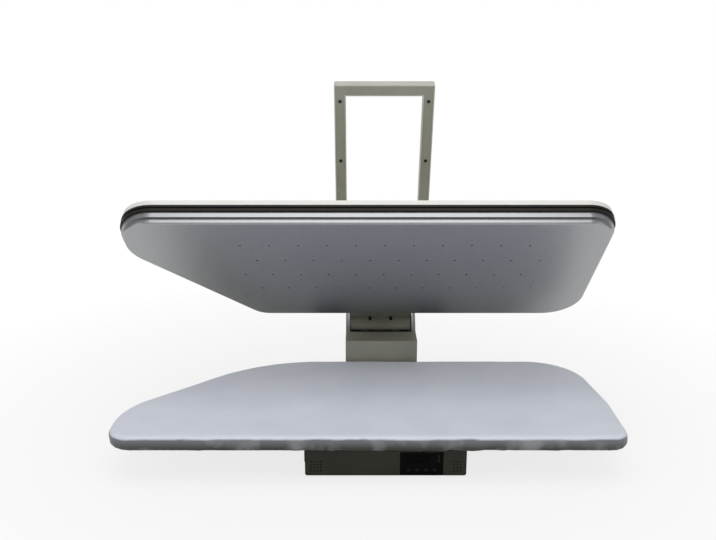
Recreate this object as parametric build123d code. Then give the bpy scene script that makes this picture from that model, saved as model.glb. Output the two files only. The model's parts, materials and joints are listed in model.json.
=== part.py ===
from build123d import *
import math
import os

# Steam ironing press, open. X runs to the right, Y away from the operator, Z up, all in millimetres.
# The origin is on the floor, under the middle of the machine's length and depth.

# Whole machine
board_length = 1000.0
board_depth = 395.0
column_behind_board = 4.0  # gap between the board's rear edge and the column
hinge_behind_board = 121.0
column_behind_hinge = 64.0  # from the hinge to the column's back
board_top_z = 104.0
centre_x = 36.0  # the base, column and handle stand right of the board's middle
open_angle = 47.0  # how far the head is lifted from the board at rest
fit_gap = 0.2  # between parts that are fitted into each other
running_gap = 0.05  # radial, between a pin and the bush that turns on it
press_gap = 0.02  # radial, between a pin and the plate that holds it
soft_gap = 0.3  # around cloth, foam and felt
face_gap = 0.4  # between faces that slide past each other

# Ironing board
board_edge = 30.0
board_front_left_radius = 50.0
board_nose_y = 135.0  # where the left end starts to slant back
board_nose_radius = 150.0
board_slant_x = 264.0  # how far the slant runs in from the left end
board_slant_radius = 320.0
board_rear_right_x = 28.0
board_rear_right_radius = 125.0
board_right_bend_y = 160.0
board_right_bend_radius = 250.0
board_front_right_radius = 38.0
cover_wall = 2.0
cover_top_round = 12.0
cover_bottom_round = 7.0
cover_hem = 34.0
tray_wall = 1.5
tray_height = 10.0
tray_hole_radius = 6.0
tray_hole_columns = 9
tray_hole_rows = 4
tray_hole_pitch_x = 70.0
tray_hole_pitch_y = 62.0
tray_hole_first_y = 95.0
rail_width = 30.0
rail_height = 9.0
rail_front_y = 85.0
rail_rear_inset = 110.0
rail_front_left = 120.0  # in from the board's left or right end
rail_front_right = 100.0
rail_rear_left = 265.0
rail_rear_right = 150.0
standoff_radius = 10.0
standoff_inset = 45.0

# Head outline, measured like the board's and from the board's ends
head_inset_x = 8.0
head_inset_front = 8.0
head_inset_rear = 6.0
head_front_left_radius = 72.0
head_nose_y = 130.0
head_nose_radius = 90.0
head_slant_x = 258.0
head_slant_radius = 60.0
head_rear_right_x = 16.0
head_rear_right_radius = 90.0
head_right_bend_y = 90.0
head_front_right_radius = 60.0

# Head, layer by layer from the ironing face up
closed_gap = 1.0  # between the closed plate and the board's crown
plate_edge = 12.0
plate_inset = 9.0
plate_round = 4.0
plate_floor = 6.0
pocket_inset = 26.0
flange_height = 12.0
flange_inset = 4.0
band_height = 14.0
band_ring = 18.0
band_groove = 3.0
band_groove_up = 6.0
frame_inset = 6.0
frame_thickness = 3.0
frame_slot_margin = 4.0
rim_height = 12.0
rim_inset = 2.0
dome_rise = 16.0
dome_run = 24.0
dome_round = 6.0
cover_shell = 2.5
cover_post_x = 330.0
cover_post_front = 45.0
cover_post_rear = 159.0
cover_post_radius = 6.0
cover_post_margin = 90.0
cover_screw_sink = 2.0
cover_screw_head = 1.5
steam_hole_radius = 1.8
steam_hole_columns = 11
steam_hole_rows = 4
steam_hole_pitch_x = 58.0
steam_hole_pitch_y = 56.0
steam_hole_first_y = 95.0
steam_hole_left_margin = 80.0
steam_hole_right_margin = 110.0
element_radius = 3.5
element_inset = 62.0
element_front_inset = 42.0
element_left_margin = 42.0
element_right_margin = 60.0
element_bend = 16.0
element_end = 40.0
element_end_gap = 22.0
chamber_lid_thickness = 1.5
chamber_post_height = 9.0
chamber_post_radius = 7.0
chamber_post_x = 250.0
chamber_post_front = 75.0
chamber_post_rear = 169.0
service_window_width = 130.0
service_window_depth = 90.0
service_window_from_rear = 130.0
thermostat_radius = 8.0
thermostat_height = 9.0
thermostat_x = 24.0
thermostat_y = 30.0
thermostat_ear = 12.0
thermostat_ear_thickness = 1.5
tab_width = 6.0
tab_thickness = 1.0
tab_height = 7.0
tab_spread = 6.5
fuse_radius = 3.0
fuse_length = 22.0
fuse_x = 40.0
fuse_clamp = 8.0
inlet_y = 62.0
inlet_flange_radius = 8.0
inlet_flange = 6.0
inlet_radius = 5.0
inlet_above_frame = 8.0
inlet_elbow_radius = 4.0
inlet_elbow = 26.0

# Hinge, lever plates and neck
hinge_above_board = 42.0
hinge_pin_radius = 10.0
hinge_pin_head_radius = 15.0
hinge_pin_head = 3.0
hinge_pin_inner = 42.0  # from the centre plane to the pin's inner end
bush_wall = 3.0
hub_radius = 22.0
lever_inner = 44.0  # from the centre plane to the lever plate's inner face
lever_thickness = 8.0
lever_foot_width = 20.0
lever_foot_thickness = 4.0
lever_front = 306.0  # ahead of the hinge
lever_foot_rear = 148.0
lever_foot_slope = 8.0
lever_bolt_front_inset = 20.0
lever_bolt_rear_inset = 16.0
lever_under = 20.0  # where the lever's underside leaves the neck's floor, ahead of the hinge
lever_head_room = 6.0  # between the lever's top edge and the covers above it
lever_pivot_flat = 15.0
lever_bolt_radius = 4.0
lever_bolt_head = 5.0
spring_wire_radius = 1.9
spring_turns = 3
spring_pitch = 4.4
barrel_radius = 28.0
barrel_front_low = 228.0  # degrees round the hinge where the barrel's front wall ends
neck_half_width = 72.0
neck_wall = 2.5
neck_front = 268.0
neck_front_rise = 7.0
neck_mid = 176.0
neck_mid_rise = 44.0
neck_hump_front = 114.0
neck_hump_rear = 58.0
neck_hump_rise = 92.0
neck_notch = 158.0  # where the neck steps down behind the head's dome
neck_hump_lead = 14.0
neck_hump_trail = 10.0
neck_hump_front_drop = 6.0
neck_hump_rear_drop = 8.0
neck_front_opening = 10.0
tail_outer = 42.0
tail_from_angle = -68.0
tail_to_angle = -30.0
stop_bar_radius = 6.0
stop_bar_orbit = 36.0
stop_bar_angle = -125.0

# Column
column_half_width = 82.5
cheek_thickness = 6.0
cheek_foot_width = 26.0
column_bolt_radius = 4.0
column_bolt_head_radius = 7.0
column_bolt_head = 5.0
column_bolt_margin = 1.5
column_bolt_front = 30.0  # behind the column's front face
column_bolt_rear = 52.0  # ahead of its rear face
column_top_above_board = 45.0
column_top_depth = 84.0
column_shell = 3.0
cheek_hood_radius = 38.0
cheek_hood_drop = 4.0
cheek_front_slope = 18.0
cladding_top_overlap = 2.0
cladding_split = 24.0  # behind the hinge, where front and rear covers meet
column_nut = 4.0
column_corner = 6.0
rear_cover_above_board = 66.0

# Handle
handle_pivot_forward = 86.0  # of the hinge, head closed
handle_pivot_above = 68.0
handle_length = 515.0
handle_half_width = 103.0
handle_bar_width = 24.0
handle_bar_depth = 22.0
handle_closed_rise = 8.0  # degrees above level when closed
handle_ratio = 0.3  # handle turn against head turn
handle_rim = 2.4
handle_roof = 3.0
handle_cover_thickness = 2.0
handle_cover_recess = 0.8
handle_round = 2.0
handle_boss_radius = 13.0
handle_pocket_start = 40.0
handle_screw_far = 36.0  # in from the crossbar's front face
handle_screw_near = 175.0
handle_screw_radius = 3.6
handle_screw_head = 1.2
handle_screw_round = 0.8
handle_screw_length = 9.0
handle_post_radius = 4.5
handle_post_sink = 1.0
cross_shaft_radius = 7.0
crank_length = 52.9
crank_angle = -91.8  # degrees from +Y, at rest
crank_inner = 29.0
crank_thickness = 6.0
crank_hub_radius = 13.0
crank_end_radius = 9.0
crank_pin_radius = 4.0
link_inner = 22.5
link_thickness = 5.0
link_half_width = 6.0
link_end_radius = 8.0
link_pivot_back = 11.3  # of the hinge
link_pivot_below = 22.6
link_pin_radius = 5.0
link_pin_half = 28.0
link_side_gap = 1.0
link_slack = 0.6  # opened pivot between crank pin and link
link_ear_inner = 12.0
link_ear_thickness = 5.0
link_ear_half_width = 12.0
link_foot_length = 8.0
link_foot_thickness = 5.0

# Base
base_width = 315.0
base_set_back = 35.0
base_rear_inset = 6.0
base_step_behind_board = 80.0  # from here back the base is as narrow as the column
base_clearance = 5.0
base_height = 55.0
base_wall = 3.0
base_round = 6.0
bottom_plate = 2.0
foot_radius = 12.0
foot_inset = 26.0
foot_screw_radius = 2.0
foot_screw_head_radius = 4.0
foot_screw_head = 2.0
boss_radius = 6.0
vent_radius = 1.4
vent_pitch = 6.5
vent_rows = 4
vent_columns_left = 4
vent_columns_right = 3
vent_first_z = 16.0
vent_inset = 12.0

# Control panel on the base's front face
panel_width = 84.0
panel_height = 49.0
panel_thickness = 2.5
panel_proud = 0.5
panel_from_left = 227.0
panel_bottom = 1.5
screen_width = 46.0
screen_height = 17.0
screen_up = 27.0
button_radius = 4.0
button_count = 4
button_pitch = 17.0
button_up = 12.0
button_proud = 1.5
button_travel = 1.2
button_flange_radius = 5.2
button_flange = 1.0
lens_radius = 1.5
lens_count = 3
lens_pitch = 5.6
lens_from_screen = 10.0
lens_proud = 0.2
screen_shift = 8.0  # left of the panel's middle
screen_sunk = 0.3
screen_module_inset = 2.0
panel_through_inset = 6.0
panel_round = 2.0
button_round = 0.6
board_setback = 12.0  # circuit board behind the base's front face
circuit_thickness = 1.6
circuit_inset = 2.0
circuit_top_inset = 3.0
circuit_post_radius = 2.0
circuit_post_inset = 4.0
tact_size = 6.0
tact_height = 3.0

# Power switch on the base's right side
switch_length = 30.0
switch_height = 22.0
switch_frame_lip = 3.0
switch_from_front = 70.0
switch_depth = 14.0
switch_lip_thickness = 1.6
switch_back = 3.0
switch_rim = 4.0
switch_round = 2.0
rocker_half_angle = 9.0
rocker_clearance = 1.0
rocker_pivot_depth = 6.0
rocker_rise = 9.0
rocker_waist = 2.0
rocker_foot = 5.0
rocker_end = 3.0

# Water tank in the base's left side
tank_length = 140.0
tank_width = 150.0
tank_height = 38.0
tank_wall = 2.2
tank_front_y = 60.0  # behind the base's front face
tank_face_height = 51.0
tank_face_thickness = 4.0
tank_face_overlap = 5.0
tank_cap_radius = 16.0
tank_cap_height = 7.0
tank_neck_radius = 12.0
tank_neck_height = 3.0
tank_nozzle_radius = 5.0
tank_nozzle_length = 9.0
tank_nozzle_up = 12.7
tank_cap_from_face = 42.0
tank_round = 3.0
tank_face_up = 0.5
tank_face_round = 1.5
tank_grip_half = 32.0
tank_grip_low = 12.0
tank_grip_high = 30.0
tank_grip_depth = 2.5
tank_cap_round = 1.2
tank_cap_bar = 11.2
tank_cap_bar_half_width = 1.6
tank_cap_bar_height = 1.0
dock_wall = 3.0
dock_lip = 2.0

# Pump, power board, hoses and mains bush
pump_radius = 17.0
pump_length = 62.0
pump_behind_dock = 34.0
pump_offset_y = 40.0
pump_saddle = 4.0
pump_saddle_inset = 8.0
hose_radius = 4.0
spigot_wall = 1.0
spigot_length = 8.0
hose_rise_x = 20.0
hose_rise_y = 24.0
hose_lead = 24.0
hose_turn_front = 90.0
hose_turn_rear = 30.0
union_drop = 30.0
union_wall = 3.0
union_height = 12.0
union_stem = 8.0
union_shelf_half = 8.0
union_shelf_low = 2.0
union_shelf_high = 8.0
power_board_length = 110.0
power_board_width = 80.0
power_board_inset = 20.0
power_board_behind_tank = 45.0
board_post_height = 6.0
board_post_radius = 3.0
board_post_inset = 6.0
transformer_size = 36.0
transformer_height = 28.0
transformer_inset = 14.0
relay_x = 54.0
relay_y = 58.0
relay_width = 16.0
relay_length = 28.0
relay_height = 16.0
capacitor_radius = 7.0
capacitor_height = 24.0
capacitor_x = 26.0
capacitor_y = 74.0
mains_bore = 4.0
mains_bush_radius = 7.5
mains_flange_radius = 11.0
mains_flange = 2.5
mains_from_centre = 45.0

# Places worked out from the sizes above
machine_depth = board_depth + hinge_behind_board + column_behind_hinge
front_y = -machine_depth / 2
back_y = machine_depth / 2
board_bottom_z = board_top_z - board_edge
board_rear_y = front_y + board_depth
head_front_y = front_y + head_inset_front
head_rear_y = board_rear_y - head_inset_rear
hinge_y = board_rear_y + hinge_behind_board
hinge_z = board_top_z + hinge_above_board
plate_z = board_top_z + closed_gap
flange_z = plate_z + plate_edge
band_z = flange_z + flange_height
rim_z = band_z + band_height
dome_z = rim_z + rim_height
dome_top_z = dome_z + dome_rise
base_z = base_clearance
base_top_z = base_z + base_height
base_front_y = front_y + base_set_back
base_back_y = back_y - base_rear_inset
base_left_x = centre_x - base_width / 2
base_right_x = centre_x + base_width / 2
base_step_y = board_rear_y + base_step_behind_board
tray_z = board_bottom_z + cover_wall
rail_z = tray_z - rail_height
column_front_y = board_rear_y + column_behind_board
column_top_z = board_top_z + column_top_above_board
pivot_y = hinge_y - handle_pivot_forward
pivot_z = hinge_z + handle_pivot_above
handle_swing = open_angle * handle_ratio

head_hinge = Axis((0, hinge_y, hinge_z), (1, 0, 0))
handle_hinge = Axis((0, pivot_y, pivot_z), (1, 0, 0))


def save(shape, node):
    """Write one sub-part to its own STEP file."""
    os.makedirs("parts", exist_ok=True)
    export_step(shape, f"parts/{node}.step")


def lift_head(shape):
    """Turn a piece that is drawn with the head closed to where it is at rest."""
    return shape.rotate(head_hinge, -open_angle)


def lift_handle(shape):
    """Turn a piece that is drawn along the level handle to where it is at rest."""
    return lift_head(shape.rotate(handle_hinge, -handle_closed_rise - handle_swing))


def turn_point(y, z, about_y, about_z, degrees):
    """Turn a point of the Y-Z plane about another one, positive as about +X."""
    a = math.radians(degrees)
    dy, dz = y - about_y, z - about_z
    return (about_y + dy * math.cos(a) - dz * math.sin(a),
            about_z + dy * math.sin(a) + dz * math.cos(a))


def box(x0, x1, y0, y1, z0, z1):
    """A box between two corners."""
    return Pos((x0 + x1) / 2, (y0 + y1) / 2, (z0 + z1) / 2) * Box(x1 - x0, y1 - y0, z1 - z0)


def tube_x(radius, x0, x1, y, z):
    """A round bar along X."""
    return Pos((x0 + x1) / 2, y, z) * Rot(0, 90, 0) * Cylinder(radius, x1 - x0)


def tube_y(radius, y0, y1, x, z):
    """A round bar along Y."""
    return Pos(x, (y0 + y1) / 2, z) * Rot(90, 0, 0) * Cylinder(radius, y1 - y0)


def tube_z(radius, z0, z1, x, y):
    """A round bar along Z."""
    return Pos(x, y, (z0 + z1) / 2) * Cylinder(radius, z1 - z0)


def side_plate(points, x0, x1):
    """A plate cut to an outline of (Y, Z) points, between two X planes."""
    face = Plane.YZ * make_face(Polyline(*points, close=True))
    return Pos(x0, 0, 0) * extrude(face, amount=x1 - x0, dir=(1, 0, 0))


def both_sides(shape):
    """A shape and its mirror image about the machine's centre plane."""
    return shape + mirror(shape, about=Plane((centre_x, 0, 0), z_dir=(1, 0, 0)))


def separate(*shapes):
    """Several solids in one node, kept apart."""
    solids = []
    for shape in shapes:
        solids.extend(shape.solids())
    return Compound(children=solids)


def board_plan(inset=0.0):
    """The board's outline seen from above, made smaller all round by inset."""
    left, right = -board_length / 2, board_length / 2
    rear = board_rear_y
    points = [
        (left, front_y),
        (left, front_y + board_nose_y),
        (left + board_slant_x, rear),
        (right - board_rear_right_x, rear),
        (right, front_y + board_right_bend_y),
        (right, front_y),
    ]
    radii = [
        board_front_left_radius,
        board_nose_radius,
        board_slant_radius,
        board_rear_right_radius,
        board_right_bend_radius,
        board_front_right_radius,
    ]
    face = make_face(FilletPolyline(*points, radius=radii, close=True))
    return offset(face, -inset) if inset else face


def head_plan(inset=0.0):
    """The head's outline seen from above with the head closed, made smaller all round by inset."""
    left = -board_length / 2 + head_inset_x
    right = board_length / 2 - head_inset_x
    points = [
        (left, head_front_y),
        (left, front_y + head_nose_y),
        (-board_length / 2 + head_slant_x, head_rear_y),
        (board_length / 2 - head_rear_right_x, head_rear_y),
        (right, front_y + head_right_bend_y),
        (right, head_front_y),
    ]
    radii = [
        head_front_left_radius,
        head_nose_radius,
        head_slant_radius,
        head_rear_right_radius,
        board_right_bend_radius,
        head_front_right_radius,
    ]
    face = make_face(FilletPolyline(*points, radius=radii, close=True))
    return offset(face, -inset) if inset else face


def slab(plan, z0, z1):
    """A flat layer of a plan outline between two heights."""
    return Pos(0, 0, z0) * extrude(plan, amount=z1 - z0)


def edges_at(shape, z):
    """The edges that lie flat at one height."""
    return shape.edges().filter_by(lambda e: abs(e.bounding_box().min.Z - z) < 1e-3
                                   and abs(e.bounding_box().max.Z - z) < 1e-3)


# Board


def board_cover():
    """Cloth cover: a skin over the foam, round the edge and hemmed in under the tray."""
    outer = slab(board_plan(), board_bottom_z, board_top_z)
    outer = fillet(edges_at(outer, board_top_z), cover_top_round)
    outer = fillet(edges_at(outer, board_bottom_z), cover_bottom_round)
    inner = slab(board_plan(cover_wall), tray_z, board_top_z - cover_wall)
    inner = fillet(edges_at(inner, board_top_z - cover_wall), cover_top_round - cover_wall)
    inner = fillet(edges_at(inner, tray_z), cover_bottom_round - cover_wall)
    mouth = slab(board_plan(cover_hem), board_bottom_z - 1, tray_z + 1)
    return outer - inner - mouth


def tray_holes():
    """The middle points of the tray's steam holes."""
    start_x = -(tray_hole_columns - 1) / 2 * tray_hole_pitch_x + centre_x
    for row in range(tray_hole_rows):
        for column in range(tray_hole_columns):
            x = start_x + column * tray_hole_pitch_x
            y = front_y + tray_hole_first_y + row * tray_hole_pitch_y
            slant = -board_length / 2 + (y - front_y - board_nose_y) + 4 * tray_hole_radius
            if x > slant:
                yield x, y


def board_tray():
    """Pressed steel tray that carries the padding."""
    skin = cover_wall + soft_gap
    tray = slab(board_plan(skin), tray_z, tray_z + tray_height)
    tray = fillet(edges_at(tray, tray_z), cover_bottom_round - cover_wall)
    tray -= slab(board_plan(skin + tray_wall), tray_z + tray_wall, tray_z + tray_height + 1)
    for x, y in tray_holes():
        tray -= tube_z(tray_hole_radius, tray_z - 1, tray_z + tray_wall + 1, x, y)
    return tray


def board_felt():
    """Felt underlay, inside the tray's wall."""
    inset = cover_wall + soft_gap + tray_wall + soft_gap
    return slab(board_plan(inset), tray_z + tray_wall, tray_z + tray_height)


def board_foam():
    """Foam pad on the felt and the tray's rim, rounded at its top edge."""
    inset = cover_wall + soft_gap
    top = board_top_z - cover_wall - soft_gap
    foam = slab(board_plan(inset), tray_z + tray_height, top)
    return fillet(edges_at(foam, top), cover_top_round - cover_wall)


def rail_rows():
    """The two rails: how far each runs left and right of the board's middle, and its middle line."""
    half = board_length / 2
    return [
        (half - rail_front_left, half - rail_front_right, front_y + rail_front_y),
        (half - rail_rear_left, half - rail_rear_right, board_rear_y - rail_rear_inset),
    ]


def board_rails():
    """Two steel rails under the tray, channels open below."""
    solids = []
    for left, right, y in rail_rows():
        rail = box(-left, right, y - rail_width / 2, y + rail_width / 2, rail_z, tray_z)
        rail -= box(-left - 1, right + 1, y - rail_width / 2 + tray_wall,
                    y + rail_width / 2 - tray_wall, rail_z - 1, tray_z - tray_wall)
        solids.append(rail)
    return separate(*solids)


def standoff_places():
    """Where the four stand-offs carry the rails on the base."""
    for left, right, y in rail_rows():
        for x in (base_left_x + standoff_inset, base_right_x - standoff_inset):
            yield x, y


def board_standoffs():
    """Round stand-offs between the base and the rails' webs."""
    return separate(*[tube_z(standoff_radius, base_top_z, tray_z - tray_wall, x, y)
                      - tube_z(foot_screw_radius + fit_gap, base_top_z - 1, tray_z, x, y)
                      for x, y in standoff_places()])


def board_bolts():
    """Bolts through the base's top, the stand-offs and the rails into the tray."""
    bolts = []
    for x, y in standoff_places():
        under = base_top_z - base_wall
        bolts.append(tube_z(foot_screw_radius, under - 1, tray_z - tray_wall, x, y)
                     + tube_z(foot_screw_head_radius, under - foot_screw_head - 1, under, x, y))
    return separate(*bolts)


# Base


def boss_places():
    """The corners of the base where feet, screws and bosses line up."""
    for side in (-1, 1):
        x = centre_x + side * (base_width / 2 - foot_inset)
        yield x, base_front_y + foot_inset
        yield x, base_step_y - foot_inset
        yield centre_x + side * (column_half_width - foot_inset), base_back_y - foot_inset


def base_block(inset, z0, z1):
    """The base's outline, wide under the board and narrow under the column, between two heights."""
    wide = box(base_left_x + inset, base_right_x - inset, base_front_y + inset, base_step_y - inset, z0, z1)
    half = column_half_width - inset
    return wide + box(centre_x - half, centre_x + half, base_step_y - inset - 1, base_back_y - inset, z0, z1)


def panel_x():
    """The control panel's middle."""
    return base_left_x + panel_from_left


def panel_z():
    """The control panel's lower edge."""
    return base_z + panel_bottom


def switch_y():
    """The power switch's middle."""
    return base_front_y + switch_from_front


def switch_z():
    """The height of the power switch's middle."""
    return base_z + base_height / 2


def tank_y():
    """The tank's front and rear sides."""
    start = base_front_y + tank_front_y
    return start, start + tank_width


def tank_floor_z():
    """The tank's underside, just clear of the bottom plate."""
    return base_z + bottom_plate + fit_gap


def vent_places():
    """Vent holes near both ends of the front face."""
    for row in range(vent_rows):
        z = vent_first_z + row * vent_pitch
        for column in range(vent_columns_left):
            yield base_left_x + vent_inset + column * vent_pitch, z
        for column in range(vent_columns_right):
            yield base_right_x - vent_inset - column * vent_pitch, z


def base_housing():
    """Pressed shell of the base, open below."""
    shell = base_block(0, base_z, base_top_z)
    shell = fillet(shell.edges().filter_by(Axis.Z), base_round)
    shell = fillet(edges_at(shell, base_top_z), base_round / 2)
    shell = fillet(edges_at(shell, base_z), base_round / 3)
    shell -= base_block(base_wall, base_z - 1, base_top_z - base_wall)
    for x, y in boss_places():
        shell += tube_z(boss_radius, base_z + bottom_plate, base_top_z - base_wall, x, y)
        shell -= tube_z(foot_screw_radius + press_gap, base_z, base_z + base_height / 2, x, y)
    for x, z in vent_places():
        shell -= tube_y(vent_radius, base_front_y - 1, base_front_y + base_wall + 1, x, z)
    shell -= panel_recess()
    shell -= switch_opening()
    shell -= tank_opening()
    shell -= tube_y(mains_bush_radius, base_back_y - base_wall - 1, base_back_y + 1, mains_x(), mains_z())
    for x, y in standoff_places():
        shell -= tube_z(foot_screw_radius + fit_gap, base_top_z - base_wall - 1, base_top_z + 1, x, y)
    for x, y in column_bolt_places():
        shell -= tube_z(column_bolt_radius + fit_gap, base_top_z - base_wall - 1, base_top_z + 1, x, y)
    shell -= tube_z(hose_radius + fit_gap, base_top_z - base_wall - 1, base_top_z + 1, *hose_rise())
    return shell


def base_bottom_plate():
    """Flat steel floor that closes the base, between its walls."""
    plate = base_block(base_wall + fit_gap, base_z, base_z + bottom_plate)
    for x, y in boss_places():
        plate -= tube_z(foot_screw_radius + fit_gap, base_z - 1, base_z + bottom_plate + 1, x, y)
    return plate


def rubber_feet():
    """Six rubber feet, each with a sunk hole for its screw."""
    feet = []
    for x, y in boss_places():
        foot = tube_z(foot_radius, 0, base_z, x, y)
        foot = fillet(edges_at(foot, 0), 1.0)
        foot -= tube_z(foot_screw_head_radius + fit_gap, -1, foot_screw_head + 1, x, y)
        foot -= tube_z(foot_screw_radius + fit_gap, 0, base_z + 1, x, y)
        feet.append(foot)
    return separate(*feet)


def foot_screws():
    """Screws that hold feet and floor to the bosses."""
    return separate(*[tube_z(foot_screw_head_radius, 1, foot_screw_head + 1, x, y)
                      + tube_z(foot_screw_radius, foot_screw_head + 1, base_z + base_height / 3, x, y)
                      for x, y in boss_places()])


# Control panel


def panel_recess():
    """Pocket in the base's front wall for the panel, with a way through behind it."""
    x, z = panel_x(), panel_z()
    half = panel_width / 2 + fit_gap
    pocket = box(x - half, x + half, base_front_y - 1, base_front_y + panel_thickness - panel_proud,
                 z - fit_gap, z + panel_height + fit_gap)
    inset = panel_through_inset
    through = box(x - half + inset, x + half - inset, base_front_y, base_front_y + base_wall + 1,
                  z + inset, z + panel_height - inset)
    return pocket + through


def button_places():
    """The middle points of the buttons on the panel."""
    start = panel_x() - (button_count - 1) / 2 * button_pitch
    return [(start + n * button_pitch, panel_z() + button_up) for n in range(button_count)]


def lens_places():
    """The middle points of the indicator lenses, right of the screen."""
    x = panel_x() + screen_width / 2 + lens_from_screen
    return [(x, panel_z() + screen_up + screen_height / 2 + (n - (lens_count - 1) / 2) * lens_pitch)
            for n in range(lens_count)]


def screen_x():
    """The screen's left edge: it stands left of the panel's middle to leave room for the lenses."""
    return panel_x() - screen_width / 2 - screen_shift


def panel_front_y():
    """The control panel's front face."""
    return base_front_y - panel_proud


def control_bezel():
    """Black panel with openings for screen, lenses and buttons."""
    x, z, y = panel_x(), panel_z(), panel_front_y()
    plate = box(x - panel_width / 2, x + panel_width / 2, y, y + panel_thickness, z, z + panel_height)
    plate = fillet(plate.edges().filter_by(Axis.Y), panel_round)
    plate -= box(screen_x(), screen_x() + screen_width, y - 1, y + panel_thickness + 1,
                 z + screen_up, z + screen_up + screen_height)
    for bx, bz in button_places():
        plate -= tube_y(button_radius + fit_gap, y - 1, y + panel_thickness + 1, bx, bz)
    for lx, lz in lens_places():
        plate -= tube_y(lens_radius + press_gap, y - 1, y + panel_thickness + 1, lx, lz)
    return plate


def display_window():
    """Smoked window of the display, let into the panel."""
    y = panel_front_y()
    z = panel_z() + screen_up
    window = box(screen_x() + fit_gap, screen_x() + screen_width - fit_gap, y + screen_sunk,
                 y + panel_thickness, z + fit_gap, z + screen_height - fit_gap)
    inset = screen_module_inset
    module = box(screen_x() + inset, screen_x() + screen_width - inset, y + panel_thickness, circuit_y(),
                 z + inset, z + screen_height - inset)
    return window + module


def indicator_lenses():
    """Small light pipes from the circuit board to the panel's face."""
    y = panel_front_y()
    return separate(*[tube_y(lens_radius, y - lens_proud, circuit_y(), x, z) for x, z in lens_places()])


def circuit_y():
    """The front face of the control circuit board."""
    return base_front_y + board_setback


def control_pcb():
    """Circuit board behind the panel, with one push contact per button and its four corner posts."""
    x, z, y = panel_x(), panel_z(), circuit_y()
    half = panel_width / 2
    board = box(x - half + circuit_inset, x + half - circuit_inset, y, y + circuit_thickness,
                z + circuit_inset, z + panel_height - circuit_top_inset)
    for bx, bz in button_places():
        board += box(bx - tact_size / 2, bx + tact_size / 2, y - tact_height, y,
                     bz - tact_size / 2, bz + tact_size / 2)
    for px in (x - half + circuit_post_inset, x + half - circuit_post_inset):
        for pz in (z + circuit_post_inset, z + panel_height - circuit_post_inset):
            board += tube_y(circuit_post_radius, base_front_y + base_wall, y, px, pz)
    return board


def control_button(n):
    """One push button with the flange that keeps it behind the panel."""
    x, z = button_places()[n]
    y = panel_front_y()
    cap = tube_y(button_radius, y - button_proud, y + panel_thickness + fit_gap, x, z)
    cap = fillet(cap.edges().group_by(Axis.Y)[0], button_round)
    flange_y = y + panel_thickness + fit_gap
    cap += tube_y(button_flange_radius, flange_y, flange_y + button_flange, x, z)
    cap += tube_y(button_radius / 2, flange_y, circuit_y() - tact_height - button_travel - fit_gap, x, z)
    return cap


# Power switch


def switch_opening():
    """Opening in the right wall for the switch frame."""
    return box(base_right_x - base_wall - 1, base_right_x + 1,
               switch_y() - switch_length / 2, switch_y() + switch_length / 2,
               switch_z() - switch_height / 2, switch_z() + switch_height / 2)


def rocker_half():
    """Half the rocker's length and height."""
    return switch_length / 2 - switch_rim, switch_height / 2 - switch_rim


def power_switch_frame():
    """Frame of the power switch, snapped into the wall."""
    y, z = switch_y(), switch_z()
    hy, hz = switch_length / 2 - fit_gap, switch_height / 2 - fit_gap
    lip = switch_frame_lip
    frame = box(base_right_x, base_right_x + switch_lip_thickness, y - hy - lip, y + hy + lip,
                z - hz - lip, z + hz + lip)
    frame = fillet(frame.edges().filter_by(Axis.X), switch_round)
    frame += box(base_right_x - switch_depth - switch_back, base_right_x + 1, y - hy, y + hy, z - hz, z + hz)
    ry, rz = rocker_half()
    ry += rocker_clearance
    rz += face_gap
    frame -= box(base_right_x - switch_depth, base_right_x + 3, y - ry, y + ry, z - rz, z + rz)
    return frame


def rocker_pivot_x():
    """The rocker's axis, behind the wall's face."""
    return base_right_x - rocker_pivot_depth


def power_rocker():
    """Rocker, pressed in at its front end: two facets that meet over the pivot."""
    y, z = switch_y(), switch_z()
    half, high = rocker_half()
    a = math.radians(rocker_half_angle)
    side = []
    for dy in (-half, 0, half):
        out = rocker_rise - abs(dy) * math.tan(a)
        side.append((rocker_pivot_x() + out, y + dy))
    side += [
        (rocker_pivot_x() - rocker_waist, y + half - rocker_end),
        (rocker_pivot_x() - rocker_foot, y),
        (rocker_pivot_x() - rocker_waist, y - half + rocker_end),
    ]
    face = make_face(Polyline(*side, close=True))
    rocker = Pos(0, 0, z - high) * extrude(face, amount=2 * high, dir=(0, 0, 1))
    tilt = Axis((rocker_pivot_x(), y, z), (0, 0, 1))
    return rocker.rotate(tilt, -rocker_half_angle)


# Water tank


def tank_opening():
    """Mouth of the tank bay in the left wall."""
    y0, y1 = tank_y()
    top = tank_floor_z() + tank_height + tank_cap_height + tank_cap_bar_height
    return box(base_left_x - 1, base_left_x + base_wall + 1, y0 - face_gap, y1 + face_gap,
               base_z - 1, top + face_gap)


def tank_cap_place():
    """The middle of the filler cap on the tank's top."""
    y0, y1 = tank_y()
    return base_left_x + tank_cap_from_face, (y0 + y1) / 2


def tank_nozzle_z():
    """The height of the tank's outlet."""
    return tank_floor_z() + tank_nozzle_up


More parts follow.
